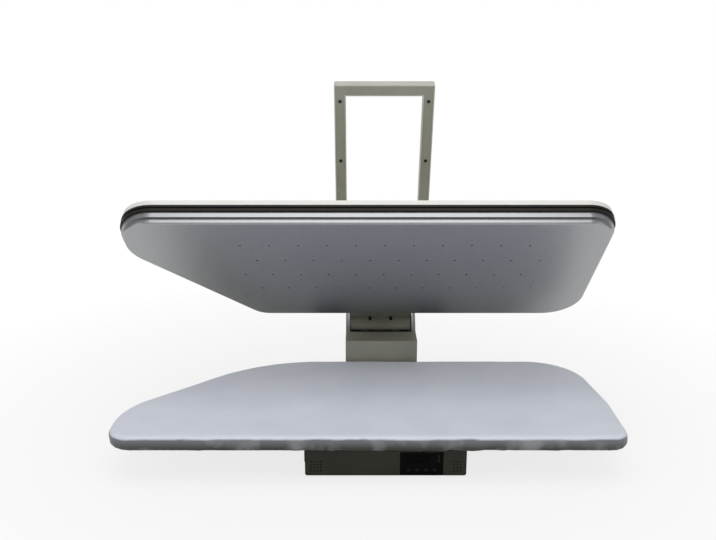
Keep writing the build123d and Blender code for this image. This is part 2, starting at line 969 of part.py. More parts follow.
def water_tank():
    """Hollow tank with its outer face plate, filler neck and outlet nozzle."""
    y0, y1 = tank_y()
    z0 = tank_floor_z()
    x0 = base_left_x - face_gap
    tank = box(x0, x0 + tank_length, y0, y1, z0, z0 + tank_height)
    tank = fillet(tank.edges().filter_by(Axis.X), tank_round)
    face = box(x0 - tank_face_thickness, x0, y0 - tank_face_overlap, y1 + tank_face_overlap,
               base_z + tank_face_up, base_z + tank_face_up + tank_face_height)
    face = fillet(face.edges().group_by(Axis.X)[0], tank_face_round)
    middle = (y0 + y1) / 2
    grip = box(x0 - tank_face_thickness - 1, x0 - tank_face_thickness + tank_grip_depth,
               middle - tank_grip_half, middle + tank_grip_half, base_z + tank_grip_low,
               base_z + tank_grip_high)
    cx, cy = tank_cap_place()
    neck_top = z0 + tank_height + tank_neck_height
    tank += tube_z(tank_neck_radius, z0 + tank_height, neck_top, cx, cy)
    nozzle_z = tank_nozzle_z()
    tank += tube_x(tank_nozzle_radius, x0 + tank_length, x0 + tank_length + tank_nozzle_length,
                   middle, nozzle_z)
    tank += face - grip
    tank -= box(x0 + tank_wall, x0 + tank_length - tank_wall, y0 + tank_wall, y1 - tank_wall,
                z0 + tank_wall, z0 + tank_height - tank_wall)
    tank -= tube_z(tank_neck_radius - tank_wall, z0 + tank_height - tank_wall - 1, neck_top + 1, cx, cy)
    tank -= tube_x(tank_nozzle_radius - tank_wall, x0 + tank_length - tank_wall - 1,
                   x0 + tank_length + tank_nozzle_length + 1, middle, nozzle_z)
    return tank


def tank_cap():
    """Quarter-turn cap over the filler neck."""
    cx, cy = tank_cap_place()
    z0 = tank_floor_z() + tank_height
    cap = tube_z(tank_cap_radius, z0 + fit_gap, z0 + tank_cap_height, cx, cy)
    cap = fillet(edges_at(cap, z0 + tank_cap_height), tank_cap_round)
    cap -= tube_z(tank_neck_radius + running_gap * 2, z0, z0 + tank_neck_height + fit_gap, cx, cy)
    cap += box(cx - tank_cap_bar, cx + tank_cap_bar, cy - tank_cap_bar_half_width,
               cy + tank_cap_bar_half_width, z0 + tank_cap_height - tank_cap_bar_height,
               z0 + tank_cap_height + tank_cap_bar_height)
    return cap


def dock_x():
    """The end of the tank's nozzle, inside the dock."""
    return base_left_x - face_gap + tank_length + tank_nozzle_length


def tank_dock():
    """Cup on the floor that takes the tank's nozzle and feeds the hose."""
    y0, y1 = tank_y()
    middle = (y0 + y1) / 2
    z = tank_nozzle_z()
    wall = tank_nozzle_radius + dock_wall
    start = dock_x() - tank_nozzle_length + dock_lip
    block = box(start, dock_x() + dock_wall + dock_lip, middle - wall, middle + wall,
                base_z + bottom_plate, z + wall)
    block -= tube_x(tank_nozzle_radius + face_gap, start - 1, dock_x() + 1, middle, z)
    block += tube_x(hose_radius + spigot_wall, dock_x() + dock_wall, dock_x() + dock_wall + spigot_length,
                    middle, z)
    return block


# Pump, power board, hoses and mains bush


def pump_start():
    """The pump's inlet end, level with the dock's outlet."""
    return dock_x() + dock_wall + pump_behind_dock


def pump_axis():
    """The pump's middle line: Y and Z."""
    y0, y1 = tank_y()
    return (y0 + y1) / 2 + pump_offset_y, base_z + bottom_plate + pump_radius + pump_saddle


def pump():
    """Solenoid pump in a saddle on the floor."""
    y, z = pump_axis()
    x = pump_start()
    body = tube_x(pump_radius, x, x + pump_length, y, z)
    end = x + pump_length
    body += box(x + pump_saddle_inset, end - pump_saddle_inset, y - pump_radius, y + pump_radius,
                base_z + bottom_plate, z)
    body += tube_x(hose_radius + spigot_wall, x - spigot_length, x, y, z)
    body += tube_x(hose_radius + spigot_wall, end, end + spigot_length, y, z)
    return body


def hose(points, radius):
    """A hose of straight runs joined by arcs."""
    runs = [(Vector(*b) - Vector(*a)).length for a, b in zip(points, points[1:])]
    bends = []
    for i in range(1, len(points) - 1):
        before = Vector(*points[i]) - Vector(*points[i - 1])
        after = Vector(*points[i + 1]) - Vector(*points[i])
        turn = math.radians(before.get_angle(after))
        bends.append(0.45 * min(runs[i - 1], runs[i]) / math.tan(turn / 2))
    path = FilletPolyline(*points, radius=bends)
    start = Plane(origin=path @ 0, z_dir=path % 0)
    return sweep(start * Circle(radius), path=path)


def suction_hose():
    """Hose from the tank dock to the pump."""
    y0, y1 = tank_y()
    middle = (y0 + y1) / 2
    z = tank_nozzle_z()
    py, pz = pump_axis()
    x0 = dock_x() + dock_wall + spigot_length
    x1 = pump_start() - spigot_length
    mid = (x0 + x1) / 2
    return hose([(x0, middle, z), (mid, middle, z), (mid, py, pz), (x1, py, pz)], hose_radius)


def hose_rise():
    """Where the pressure hose comes up through the base's top, inside the column."""
    return centre_x + hose_rise_x, column_front_y + hose_rise_y


def union_z():
    """The underside of the hose union in the column."""
    return column_top_z - union_drop


def pressure_hose():
    """Hose from the pump, along the floor and up into the column to its union."""
    py, pz = pump_axis()
    x0 = pump_start() + pump_length + spigot_length
    x1 = x0 + hose_lead
    rx, ry = hose_rise()
    return hose([(x0, py, pz), (x1, py, pz), (x1, ry - hose_turn_front, pz), (rx, ry - hose_turn_rear, pz),
                 (rx, ry, pz), (rx, ry, union_z())], hose_radius)


def hose_union():
    """Brass union on a shelf behind the column's front, where the hose leaves for the head."""
    rx, ry = hose_rise()
    z = union_z()
    union = tube_z(hose_radius + union_wall, z, z + union_height, rx, ry)
    union += tube_z(hose_radius - spigot_wall, z + union_height, z + union_height + union_stem, rx, ry)
    union += box(rx - union_shelf_half, rx + union_shelf_half, column_front_y + column_shell, ry,
                 z + union_shelf_low, z + union_shelf_high)
    return union


def power_board():
    """Mains circuit board on four posts, with transformer, relay and capacitor."""
    x0 = base_left_x + base_wall + power_board_inset
    y0 = base_front_y + tank_front_y + tank_width + power_board_behind_tank
    z0 = base_z + bottom_plate
    low = z0 + board_post_height
    top = low + circuit_thickness
    board = box(x0, x0 + power_board_width, y0, y0 + power_board_length, low, top)
    for x in (x0 + board_post_inset, x0 + power_board_width - board_post_inset):
        for y in (y0 + board_post_inset, y0 + power_board_length - board_post_inset):
            board += tube_z(board_post_radius, z0, low, x, y)
    tx, ty = x0 + transformer_inset, y0 + transformer_inset
    board += box(tx, tx + transformer_size, ty, ty + transformer_size, top, top + transformer_height)
    rx, ry = x0 + relay_x, y0 + relay_y
    board += box(rx, rx + relay_width, ry, ry + relay_length, top, top + relay_height)
    board += tube_z(capacitor_radius, top, top + capacitor_height, x0 + capacitor_x, y0 + capacitor_y)
    return board


def mains_x():
    """The mains bush's place across the base."""
    return centre_x - mains_from_centre


def mains_z():
    """The mains bush's height."""
    return base_z + base_height / 2


def mains_lead_bush():
    """Rubber bush in the rear wall that the mains lead passes through."""
    x, z = mains_x(), mains_z()
    outer = base_back_y + mains_flange
    inner = base_back_y - base_wall - mains_flange
    bush = tube_y(mains_bush_radius - press_gap, inner, outer, x, z)
    bush += tube_y(mains_flange_radius, base_back_y, outer, x, z)
    bush += tube_y(mains_flange_radius, inner, base_back_y - base_wall, x, z)
    bush -= tube_y(mains_bore, inner - 1, outer + 1, x, z)
    return bush


# Column


def cheek_profile():
    """The side plate's outline in Y and Z."""
    hood_top = hinge_z + cheek_hood_radius
    front_top = column_front_y + column_top_depth - cheek_front_slope
    return [
        (column_front_y + column_shell, base_top_z),
        (back_y - column_shell, base_top_z),
        (back_y - column_shell, board_top_z + rear_cover_above_board - column_shell),
        (hinge_y + cheek_hood_radius * 0.8, hood_top - cheek_hood_drop),
        (hinge_y + cheek_hood_radius * 0.3, hood_top),
        (hinge_y - cheek_hood_radius * 0.45, hood_top),
        (front_top, column_top_z - column_shell),
        (column_front_y + column_shell, column_top_z - column_shell),
    ]


def stop_bar_place():
    """The middle of the bar that the levers' tails rest on."""
    a = math.radians(stop_bar_angle)
    return hinge_y + stop_bar_orbit * math.cos(a), hinge_z + stop_bar_orbit * math.sin(a)


def column_bolt_places():
    """Bolts through the side plates' feet into the base."""
    inner = column_half_width - column_shell - cheek_thickness - column_bolt_head_radius - column_bolt_margin
    for side in (-1, 1):
        for y in (column_front_y + column_bolt_front, back_y - column_bolt_rear):
            yield centre_x + side * inner, y


def column_side_plates():
    """Two steel side plates with feet turned inwards."""
    x1 = centre_x + column_half_width - column_shell
    x0 = x1 - cheek_thickness
    plate = side_plate(cheek_profile(), x0, x1)
    plate += box(x1 - cheek_foot_width, x1, column_front_y + column_shell, back_y - column_shell,
                 base_top_z, base_top_z + cheek_thickness)
    plate -= tube_x(hinge_pin_radius + press_gap, x0 - 1, x1 + 1, hinge_y, hinge_z)
    plate -= tube_x(stop_bar_radius + press_gap, x0 - 1, x1 + 1, *stop_bar_place())
    for x, y in column_bolt_places():
        if x > centre_x:
            plate -= tube_z(column_bolt_radius + fit_gap, base_top_z - 1,
                            base_top_z + cheek_thickness + 1, x, y)
    return both_sides(plate)


def column_bolts():
    """Hexagon bolts that hold the side plates down."""
    bolts = []
    for x, y in column_bolt_places():
        nut_z = base_top_z - base_wall - column_nut
        shank = tube_z(column_bolt_radius, nut_z, base_top_z + cheek_thickness, x, y)
        head = extrude(Pos(x, y, base_top_z + cheek_thickness) * RegularPolygon(column_bolt_head_radius, 6),
                       amount=column_bolt_head)
        nut = extrude(Pos(x, y, nut_z) * RegularPolygon(column_bolt_head_radius, 6), amount=column_nut)
        bolts.append(shank + head + nut)
    return separate(*bolts)


def outer_cheek(x0, x1, grow):
    """The column's cladding outline, grown past the side plate, between two X planes."""
    hood_top = hinge_z + cheek_hood_radius + grow
    points = [
        (column_front_y, base_top_z),
        (back_y, base_top_z),
        (back_y, board_top_z + rear_cover_above_board),
        (hinge_y + cheek_hood_radius * 0.8 + grow, hood_top - cheek_hood_drop),
        (hinge_y + cheek_hood_radius * 0.3, hood_top),
        (hinge_y - cheek_hood_radius * 0.45 - grow * 0.5, hood_top),
        (column_front_y + column_top_depth - cheek_front_slope - grow * 0.4, column_top_z),
        (column_front_y, column_top_z),
    ]
    return side_plate(points, x0, x1)


def split_y():
    """Where the column's front cover meets its rear cover."""
    return hinge_y + cladding_split


def column_cladding():
    """Both cheeks' cladding, the front wall, the flat top and the rear wall as one shell."""
    x_out = centre_x + column_half_width
    x_in = x_out - column_shell + press_gap
    side = outer_cheek(x_in, x_out, column_shell)
    plate_hole = tube_x(hinge_pin_head_radius + face_gap, x_in - 1, x_out + 1, hinge_y, hinge_z)
    side -= plate_hole
    sides = both_sides(side)
    half = column_half_width - column_shell / 2
    front = box(centre_x - half, centre_x + half, column_front_y, column_front_y + column_shell - press_gap,
                base_top_z, column_top_z)
    top = box(centre_x - half, centre_x + half, column_front_y,
              column_front_y + column_top_depth - cheek_front_slope - cladding_top_overlap,
              column_top_z - column_shell + press_gap, column_top_z)
    rear = box(centre_x - half, centre_x + half, back_y - column_shell + press_gap, back_y,
               base_top_z, board_top_z + rear_cover_above_board)
    return sides + front + top + rear


def column_front_cover():
    """Front cover of the column, with the forward half of both cheeks' cladding."""
    keep = box(-board_length, board_length, front_y, split_y() - fit_gap / 2, 0, board_top_z * 4)
    return column_cladding() & keep


def column_rear_cover():
    """Rear cover of the column, with the rear half of both cheeks' cladding."""
    keep = box(-board_length, board_length, split_y() + fit_gap / 2, back_y + 1, 0, board_top_z * 4)
    return column_cladding() & keep


def hinge_pins():
    """Two stub pins with heads outside the side plates."""
    x_out = centre_x + column_half_width - column_shell
    pin = tube_x(hinge_pin_radius, centre_x + hinge_pin_inner, x_out, hinge_y, hinge_z)
    pin += tube_x(hinge_pin_head_radius, x_out, x_out + hinge_pin_head, hinge_y, hinge_z)
    return both_sides(pin)


def open_stop_bar():
    """Round bar between the side plates that holds the open head's tails."""
    x_out = column_half_width - column_shell
    return tube_x(stop_bar_radius, centre_x - x_out, centre_x + x_out, *stop_bar_place())


def link_pivot():
    """The links' lower pivot in Y and Z."""
    return hinge_y + link_pivot_back, hinge_z - link_pivot_below


def link_bracket():
    """Bracket on the base's top with two ears for the links' lower pin."""
    y, z = link_pivot()
    half = link_ear_inner + link_ear_thickness
    w = link_ear_half_width
    reach = w + link_foot_length
    bracket = box(centre_x - half, centre_x + half, y - reach, y + reach, base_top_z,
                  base_top_z + link_foot_thickness)
    ear = box(centre_x + link_ear_inner, centre_x + half, y - w, y + w, base_top_z, z)
    ear += tube_x(w, centre_x + link_ear_inner, centre_x + half, y, z)
    ear -= tube_x(link_pin_radius + press_gap, centre_x, centre_x + half + 1, y, z)
    return bracket + both_sides(ear)


def link_base_pin():
    """Pin through the bracket's ears that the links turn on."""
    y, z = link_pivot()
    return tube_x(link_pin_radius, centre_x - link_pin_half, centre_x + link_pin_half, y, z)


# Head, drawn closed


def steam_holes():
    """The middle points of the plate's steam holes."""
    start_x = centre_x - (steam_hole_columns - 1) / 2 * steam_hole_pitch_x
    for row in range(steam_hole_rows):
        for column in range(steam_hole_columns):
            x = start_x + (column + 0.5 * (row % 2)) * steam_hole_pitch_x
            y = front_y + steam_hole_first_y + row * steam_hole_pitch_y
            slant = -board_length / 2 + (y - front_y - head_nose_y) + steam_hole_left_margin
            if slant < x < board_length / 2 - steam_hole_right_margin:
                yield x, y


def chamber_posts():
    """Posts in the plate's pocket that the chamber lid is screwed to."""
    for x in (-chamber_post_x, 0, chamber_post_x):
        yield centre_x + x, head_front_y + chamber_post_front
        yield centre_x + x, head_rear_y - chamber_post_rear


def heated_plate():
    """Cast aluminium plate with its flange, hollowed from above."""
    body = slab(head_plan(plate_inset), plate_z, flange_z)
    body = fillet(edges_at(body, plate_z), plate_round)
    flange = slab(head_plan(flange_inset), flange_z, band_z)
    plate = body + flange
    plate -= slab(head_plan(pocket_inset), plate_z + plate_floor, band_z + 1)
    for x, y in chamber_posts():
        plate += tube_z(chamber_post_radius, plate_z + plate_floor,
                        plate_z + plate_floor + chamber_post_height, x, y)
    for x, y in steam_holes():
        plate -= tube_z(steam_hole_radius, plate_z - 1, plate_z + plate_floor + 1, x, y)
    return lift_head(plate)


def heating_element():
    """Sheathed tubular element laid in a loop on the plate's floor, ends turned up at the rear."""
    left = -board_length / 2 + head_slant_x + element_left_margin
    right = board_length / 2 - head_inset_x - element_inset - element_right_margin
    near = head_front_y + element_front_inset
    far = head_rear_y - element_inset
    z = plate_z + plate_floor + element_radius
    gap = element_end_gap
    points = [
        (centre_x - gap, far - element_end, z),
        (centre_x - gap, far, z),
        (left, far, z),
        (left, near, z),
        (right, near, z),
        (right, far, z),
        (centre_x + gap, far, z),
        (centre_x + gap, far - element_end, z),
    ]
    path = FilletPolyline(*points, radius=element_bend)
    start = Plane(origin=path @ 0, z_dir=path % 0)
    return lift_head(sweep(start * Circle(element_radius), path=path))


def chamber_lid_z():
    """The underside of the steam chamber's lid."""
    return plate_z + plate_floor + chamber_post_height


def steam_chamber_lid():
    """Sheet lid over the element and steam chamber."""
    lid = slab(head_plan(pocket_inset + fit_gap), chamber_lid_z(), chamber_lid_z() + chamber_lid_thickness)
    return lift_head(lid)


def service_window(grow=0.0):
    """The X and Y span over the lid where thermostat, fuse and steam inlet stand."""
    y0 = board_rear_y - service_window_from_rear
    half = service_window_width / 2 + grow
    return centre_x - half, centre_x + half, y0 - grow, y0 + service_window_depth + grow


def insulation_blanket():
    """Mineral fibre blanket between the lid and the head frame, with a window for the fittings."""
    z0 = chamber_lid_z() + chamber_lid_thickness
    blanket = slab(head_plan(pocket_inset + soft_gap), z0, rim_z)
    x0, x1, y0, y1 = service_window()
    blanket -= box(x0, x1, y0, y1, z0 - 1, rim_z + 1)
    return lift_head(blanket)


def thermostat():
    """Disc thermostat on the lid."""
    x0, x1, y0, y1 = service_window()
    z = chamber_lid_z() + chamber_lid_thickness
    x, y = x0 + thermostat_x, y0 + thermostat_y
    low, high = y - tab_width / 2, y + tab_width / 2
    body = tube_z(thermostat_radius, z, z + thermostat_height, x, y)
    body += box(x - thermostat_ear, x + thermostat_ear, low, high, z, z + thermostat_ear_thickness)
    for tab_x in (x - tab_spread, x + tab_spread):
        body += box(tab_x - tab_thickness / 2, tab_x + tab_thickness / 2, low, high,
                    z + thermostat_height - 1, z + thermostat_height + tab_height)
    return lift_head(body)


def thermal_fuse():
    """Thermal fuse in its clamp on the lid."""
    x0, x1, y0, y1 = service_window()
    z = chamber_lid_z() + chamber_lid_thickness
    start, y = x1 - fuse_x, y0 + thermostat_y
    middle = start + fuse_length / 2
    body = tube_x(fuse_radius, start, start + fuse_length, y, z + fuse_radius)
    body += box(middle - fuse_clamp / 2, middle + fuse_clamp / 2, y - tab_width, y + tab_width,
                z, z + fuse_radius)
    return lift_head(body)


def steam_inlet():
    """Brass inlet through the lid, with the elbow that takes the hose from the neck."""
    x0, x1, y0, y1 = service_window()
    x, y = (x0 + x1) / 2, y0 + inlet_y
    z = chamber_lid_z() + chamber_lid_thickness
    top = rim_z + frame_thickness + inlet_above_frame
    body = tube_z(inlet_flange_radius, z, z + inlet_flange, x, y) + tube_z(inlet_radius, z, top, x, y)
    body += tube_y(inlet_elbow_radius, y - inlet_elbow_radius, y + inlet_elbow, x, top)
    return lift_head(body)


def insulating_band():
    """Black heat-resistant ring round the head, between plate and cover, with a groove outside."""
    band = slab(head_plan(), band_z, rim_z)
    band -= slab(head_plan(band_ring), band_z - 1, rim_z + 1)
    groove_z = band_z + band_groove_up
    groove = slab(head_plan(-1), groove_z, groove_z + band_groove)
    groove -= slab(head_plan(band_groove), groove_z - 1, groove_z + band_groove + 1)
    return lift_head(band - groove)


def lever_bolt_places():
    """Bolts through the levers' feet into the head frame."""
    x = centre_x + lever_inner - lever_foot_width / 2
    yield x, hinge_y - lever_front + lever_bolt_front_inset
    yield x, hinge_y - lever_foot_rear - lever_bolt_rear_inset


def head_frame():
    """Cast frame plate that carries the head."""
    frame = slab(head_plan(frame_inset), rim_z, rim_z + frame_thickness)
    y0, y1 = service_window()[2:]
    half = lever_inner - lever_foot_width - frame_slot_margin
    frame -= box(centre_x - half, centre_x + half, y0, y1, rim_z - 1, rim_z + frame_thickness + 1)
    for x, y in lever_bolt_places():
        for px in (x, 2 * centre_x - x):
            frame -= tube_z(lever_bolt_radius + fit_gap, rim_z - 1, rim_z + frame_thickness + 1, px, y)
    return lift_head(frame)


def lever_profile():
    """The lever plate's outline ahead of its hub, in Y and Z."""
    floor_z = rim_z + frame_thickness
    under_z = dome_z + 1
    top_z = dome_top_z - cover_shell - lever_head_room
    return [
        (hinge_y - lever_front, floor_z),
        (hinge_y - lever_foot_rear, floor_z),
        (hinge_y - lever_foot_rear + lever_foot_slope, under_z + neck_wall),
        (hinge_y - lever_under, under_z + neck_wall),
        (hinge_y - 10, hinge_z - hub_radius * 0.85),
        (hinge_y + 8, hinge_z + hub_radius * 0.8),
        (pivot_y + lever_pivot_flat, pivot_z + lever_head_room),
        (pivot_y - lever_pivot_flat, pivot_z + lever_head_room),
        (hinge_y - neck_notch + 2 * lever_head_room, dome_top_z + lever_head_room),
        (hinge_y - neck_notch + lever_head_room, top_z),
        (hinge_y - lever_front, top_z),
    ]


def ring_sector(outer, inner, from_angle, to_angle, x0, x1):
    """A piece of a ring round the hinge axis between two angles, from +Y towards +Z."""
    steps = 6
    points = []
    for n in range(steps + 1):
        a = math.radians(from_angle + (to_angle - from_angle) * n / steps)
        points.append((hinge_y + outer * 1.3 * math.cos(a), hinge_z + outer * 1.3 * math.sin(a)))
    wedge = side_plate([(hinge_y, hinge_z)] + points, x0, x1)
    ring = tube_x(outer, x0, x1, hinge_y, hinge_z) - tube_x(inner, x0 - 1, x1 + 1, hinge_y, hinge_z)
    return ring & wedge


def lever_plates():
    """Two steel lever plates from the head frame to the hinge, each with a foot and a stop tail."""
    x0 = centre_x + lever_inner
    x1 = x0 + lever_thickness
    plate = side_plate(lever_profile(), x0, x1)
    plate += tube_x(hub_radius, x0, x1, hinge_y, hinge_z)
    plate += tube_x(hub_radius * 0.7, x0, x1, pivot_y, pivot_z)
    plate += ring_sector(tail_outer, 1, tail_from_angle, tail_to_angle, x0, x1)
    floor_z = rim_z + frame_thickness
    plate += box(x0 - lever_foot_width, x0 + 1, hinge_y - lever_front, hinge_y - lever_foot_rear,
                 floor_z, floor_z + lever_foot_thickness)
    plate -= tube_x(hinge_pin_radius + running_gap + bush_wall + press_gap, x0 - 1, x1 + 1, hinge_y, hinge_z)
    plate -= tube_x(cross_shaft_radius + running_gap, x0 - 1, x1 + 1, pivot_y, pivot_z)
    for x, y in lever_bolt_places():
        plate -= tube_z(lever_bolt_radius + fit_gap, floor_z - 1, floor_z + lever_foot_thickness + 1, x, y)
    return lift_head(both_sides(plate))


def lever_bolts():
    """Bolts that hold the levers' feet to the frame."""
    high = rim_z + frame_thickness + lever_foot_thickness
    bolts = []
    for x, y in lever_bolt_places():
        bolt = tube_z(lever_bolt_radius, rim_z, high, x, y)
        bolt += extrude(Pos(x, y, high) * RegularPolygon(column_bolt_head_radius, 6), amount=lever_bolt_head)
        bolts.append(both_sides(bolt))
    return lift_head(separate(*bolts))


def hinge_bushes():
    """Bronze bushes pressed into the levers, turning on the hinge pins and carrying the springs."""
    inner = hinge_pin_radius + running_gap
    outer = inner + bush_wall
    x0 = centre_x + lever_inner
    x1 = centre_x + neck_half_width - neck_wall - face_gap
    bush = tube_x(outer, x0, x1, hinge_y, hinge_z) - tube_x(inner, x0 - 1, x1 + 1, hinge_y, hinge_z)
    return lift_head(both_sides(bush))


def lift_springs():
    """Torsion springs round the bushes that hold the head up."""
    inner = hinge_pin_radius + running_gap + bush_wall + soft_gap
    coil = inner + spring_wire_radius
    height = spring_turns * spring_pitch
    start_x = centre_x + lever_inner + lever_thickness + spring_wire_radius + fit_gap
    path = Helix(pitch=spring_pitch, height=height, radius=coil)
    start = Plane(origin=path @ 0, z_dir=path % 0)
    wire = sweep(start * Circle(spring_wire_radius), path=path)
    wire = Pos(start_x, hinge_y, hinge_z) * Rot(0, 90, 0) * wire
    other = mirror(wire, about=Plane((centre_x, 0, 0), z_dir=(1, 0, 0)))
    return lift_head(separate(wire, other))


def cover_posts():
    """Where the head cover is screwed to the head frame."""
    for x in (-cover_post_x, 0, cover_post_x):
        yield centre_x + x, head_front_y + cover_post_front
        yield centre_x + x, head_rear_y - cover_post_rear


def post_places():
    """The cover posts that stand clear of the slanted left end and of the levers."""
    for x, y in cover_posts():
        slant = -board_length / 2 + (y - front_y - head_nose_y) + cover_post_margin
        if x > slant:
            yield x, y


def head_top_cover():
    """White cover of the head: rim, sloped shoulder and flat top, open below."""
    outer = slab(head_plan(rim_inset), rim_z, dome_z)
    outer += loft([Pos(0, 0, dome_z) * head_plan(rim_inset),
                   Pos(0, 0, dome_top_z) * head_plan(rim_inset + dome_run)])
    outer = fillet(edges_at(outer, dome_top_z), dome_round)
    skin = rim_inset + cover_shell
    inner = slab(head_plan(skin), rim_z - 1, dome_z - 1)
    inner += loft([Pos(0, 0, dome_z - 1) * head_plan(skin),
                   Pos(0, 0, dome_top_z - cover_shell) * head_plan(skin + dome_run)])
    cover = outer - inner
    slot_half = neck_half_width + face_gap
    cover -= box(centre_x - slot_half, centre_x + slot_half, hinge_y - neck_notch, board_rear_y,
                 dome_z, dome_top_z + 1)
    for x, y in post_places():
        cover += tube_z(cover_post_radius, rim_z + frame_thickness, dome_top_z - cover_shell, x, y)
        cover -= tube_z(foot_screw_radius + press_gap, rim_z + frame_thickness - 1, dome_top_z + 1, x, y)
        cover -= tube_z(foot_screw_head_radius + fit_gap, dome_top_z - cover_screw_sink, dome_top_z + 1, x, y)
    return lift_head(cover)


def top_cover_screws():
    """Screws down through the cover's posts."""
    low = dome_top_z - cover_screw_sink
    return lift_head(separate(*[tube_z(foot_screw_radius, rim_z + frame_thickness, low, x, y)
                                + tube_z(foot_screw_head_radius, low, low + cover_screw_head, x, y)
                                for x, y in post_places()]))


def neck_profile(shrink):
    """The neck cover's outline with the head closed, in Y and Z, made smaller by shrink."""
    low = dome_z + fit_gap
    high = dome_top_z + fit_gap
    top = hinge_z + neck_hump_rise - shrink
    return [
        (hinge_y - neck_front + shrink, high),
        (hinge_y - neck_front + shrink, high + neck_front_rise - shrink),
        (hinge_y - neck_mid, hinge_z + neck_mid_rise - shrink),
        (hinge_y - neck_hump_front + shrink * 0.6, top - neck_hump_front_drop),
        (hinge_y - neck_hump_front + neck_hump_lead, top),
        (hinge_y - neck_hump_rear - neck_hump_trail, top),
        (hinge_y - neck_hump_rear - shrink * 0.6, top - neck_hump_rear_drop),
        (hinge_y + (barrel_radius - shrink) * 0.7, hinge_z + (barrel_radius - shrink) * 0.7),
        (hinge_y - 6, hinge_z - 4),
        (hinge_y - (barrel_radius - shrink) * 0.94, low + shrink),
        (hinge_y - neck_notch + shrink, low + shrink),
        (hinge_y - neck_notch + shrink, high),
    ]


def neck_cover():
    """Cover over the levers and the handle's shaft, closed round the hinge by a barrel."""
    x0, x1 = centre_x - neck_half_width, centre_x + neck_half_width
    outer = side_plate(neck_profile(0), x0, x1) + tube_x(barrel_radius, x0, x1, hinge_y, hinge_z)
    inner = side_plate(neck_profile(neck_wall), x0 + neck_wall, x1 - neck_wall)
    inner += tube_x(barrel_radius - neck_wall, x0 + neck_wall, x1 - neck_wall, hinge_y, hinge_z)
    cover = outer - inner
    open_x0, open_x1 = x0 + neck_wall, x1 - neck_wall
    cover -= box(open_x0, open_x1, hinge_y - lever_front - neck_front_opening, head_rear_y, rim_z,
                 dome_z + neck_wall + 1)
    cover -= box(open_x0, open_x1, hinge_y - neck_front + neck_wall, hinge_y - neck_notch + neck_wall + 1,
                 dome_z, dome_top_z + neck_wall)
    cover -= ring_sector(barrel_radius + 3, 1, barrel_front_low, 380.0, open_x0, open_x1)
    slot_x0 = centre_x + link_inner - link_side_gap
    slot_x1 = centre_x + link_inner + link_thickness + link_side_gap
    cover -= both_sides(box(slot_x0, slot_x1, hinge_y - barrel_radius - 5, hinge_y - barrel_radius / 2,
                            hinge_z, dome_z + neck_wall + 4))
    cover -= tube_x(cross_shaft_radius + face_gap, x0 - 1, x1 + 1, pivot_y, pivot_z)
    cover -= tube_x(hinge_pin_radius + face_gap, x0 - 1, x1 + 1, hinge_y, hinge_z)
    return lift_head(cover)


# Handle, drawn level and pointing forward from its pivot


def handle_u(inset, z0, z1, start):
    """The U of the handle seen from above, between two heights, from start ahead of the pivot."""
    half = handle_half_width - inset
    inner = handle_half_width - handle_bar_width + inset
    far = pivot_y - handle_length + inset
    near = pivot_y - start
    u = box(centre_x - half, centre_x + half, far, near, z0, z1)
    u -= box(centre_x - inner, centre_x + inner, far + handle_bar_width - 2 * inset, near + 1, z0 - 1, z1 + 1)
    return u


def handle_screw_places():
    """The screws in the handle's underside cover."""
    x = handle_half_width - handle_bar_width / 2
    for side in (-1, 1):
        for along in (handle_screw_far, handle_screw_near):
            yield centre_x + side * x, pivot_y - handle_length + along


def handle_low():
    """The handle's underside, level."""
    return pivot_z - handle_bar_depth / 2


def handle_cover_z():
    """The underside of the handle's inlaid cover."""
    return handle_low() + handle_cover_recess


def handle_frame():
    """U-shaped handle: two arms and a crossbar in one channel, with a boss at each pivot."""
    low, high = handle_low(), pivot_z + handle_bar_depth / 2
    frame = handle_u(0, low, high, 0)
    frame = fillet(frame.edges().filter_by(Axis.Z).sort_by(Axis.Y)[:2], handle_round * 2)
    frame = fillet(edges_at(frame, high), handle_round)
    boss_in = neck_half_width + face_gap
    boss = tube_x(handle_boss_radius, centre_x + boss_in, centre_x + handle_half_width, pivot_y, pivot_z)
    frame += both_sides(boss)
    frame -= handle_u(handle_rim, low - 1, high - handle_roof, handle_pocket_start)
    for x, y in handle_screw_places():
        frame += tube_z(handle_post_radius, handle_cover_z() + handle_cover_thickness,
                        high - handle_post_sink, x, y)
        frame -= tube_z(foot_screw_radius + press_gap, low, high - handle_roof, x, y)
    frame -= tube_x(cross_shaft_radius + press_gap, centre_x - handle_half_width - 1,
                    centre_x + handle_half_width + 1, pivot_y, pivot_z)
    return lift_handle(frame)


def handle_under_cover():
    """Inlaid cover that closes the handle's channel from below."""
    z = handle_cover_z()
    cover = handle_u(handle_rim + fit_gap, z, z + handle_cover_thickness, handle_pocket_start + fit_gap)
    for x, y in handle_screw_places():
        cover -= tube_z(foot_screw_radius + fit_gap, z - 1, z + handle_cover_thickness + 1, x, y)
    return lift_handle(cover)


def handle_screws():
    """Round-headed screws in the inlaid cover."""
    z = handle_cover_z()
    screws = []
    for x, y in handle_screw_places():
        head = tube_z(handle_screw_radius, z - handle_screw_head, z, x, y)
        head = fillet(edges_at(head, z - handle_screw_head), handle_screw_round)
        screws.append(head + tube_z(foot_screw_radius, z, z + handle_screw_length, x, y))
    return lift_handle(separate(*screws))


def handle_cross_shaft():
    """Shaft through the levers and the neck that joins both arms."""
    return lift_handle(tube_x(cross_shaft_radius, centre_x - handle_half_width, centre_x + handle_half_width,
                              pivot_y, pivot_z))


def pivot_at_rest():
    """The handle's pivot at rest in Y and Z."""
    return turn_point(pivot_y, pivot_z, hinge_y, hinge_z, -open_angle)


def crank_end():
    """The crank pin at rest in Y and Z."""
    y, z = pivot_at_rest()
    a = math.radians(crank_angle)
    return y + crank_length * math.cos(a), z + crank_length * math.sin(a)


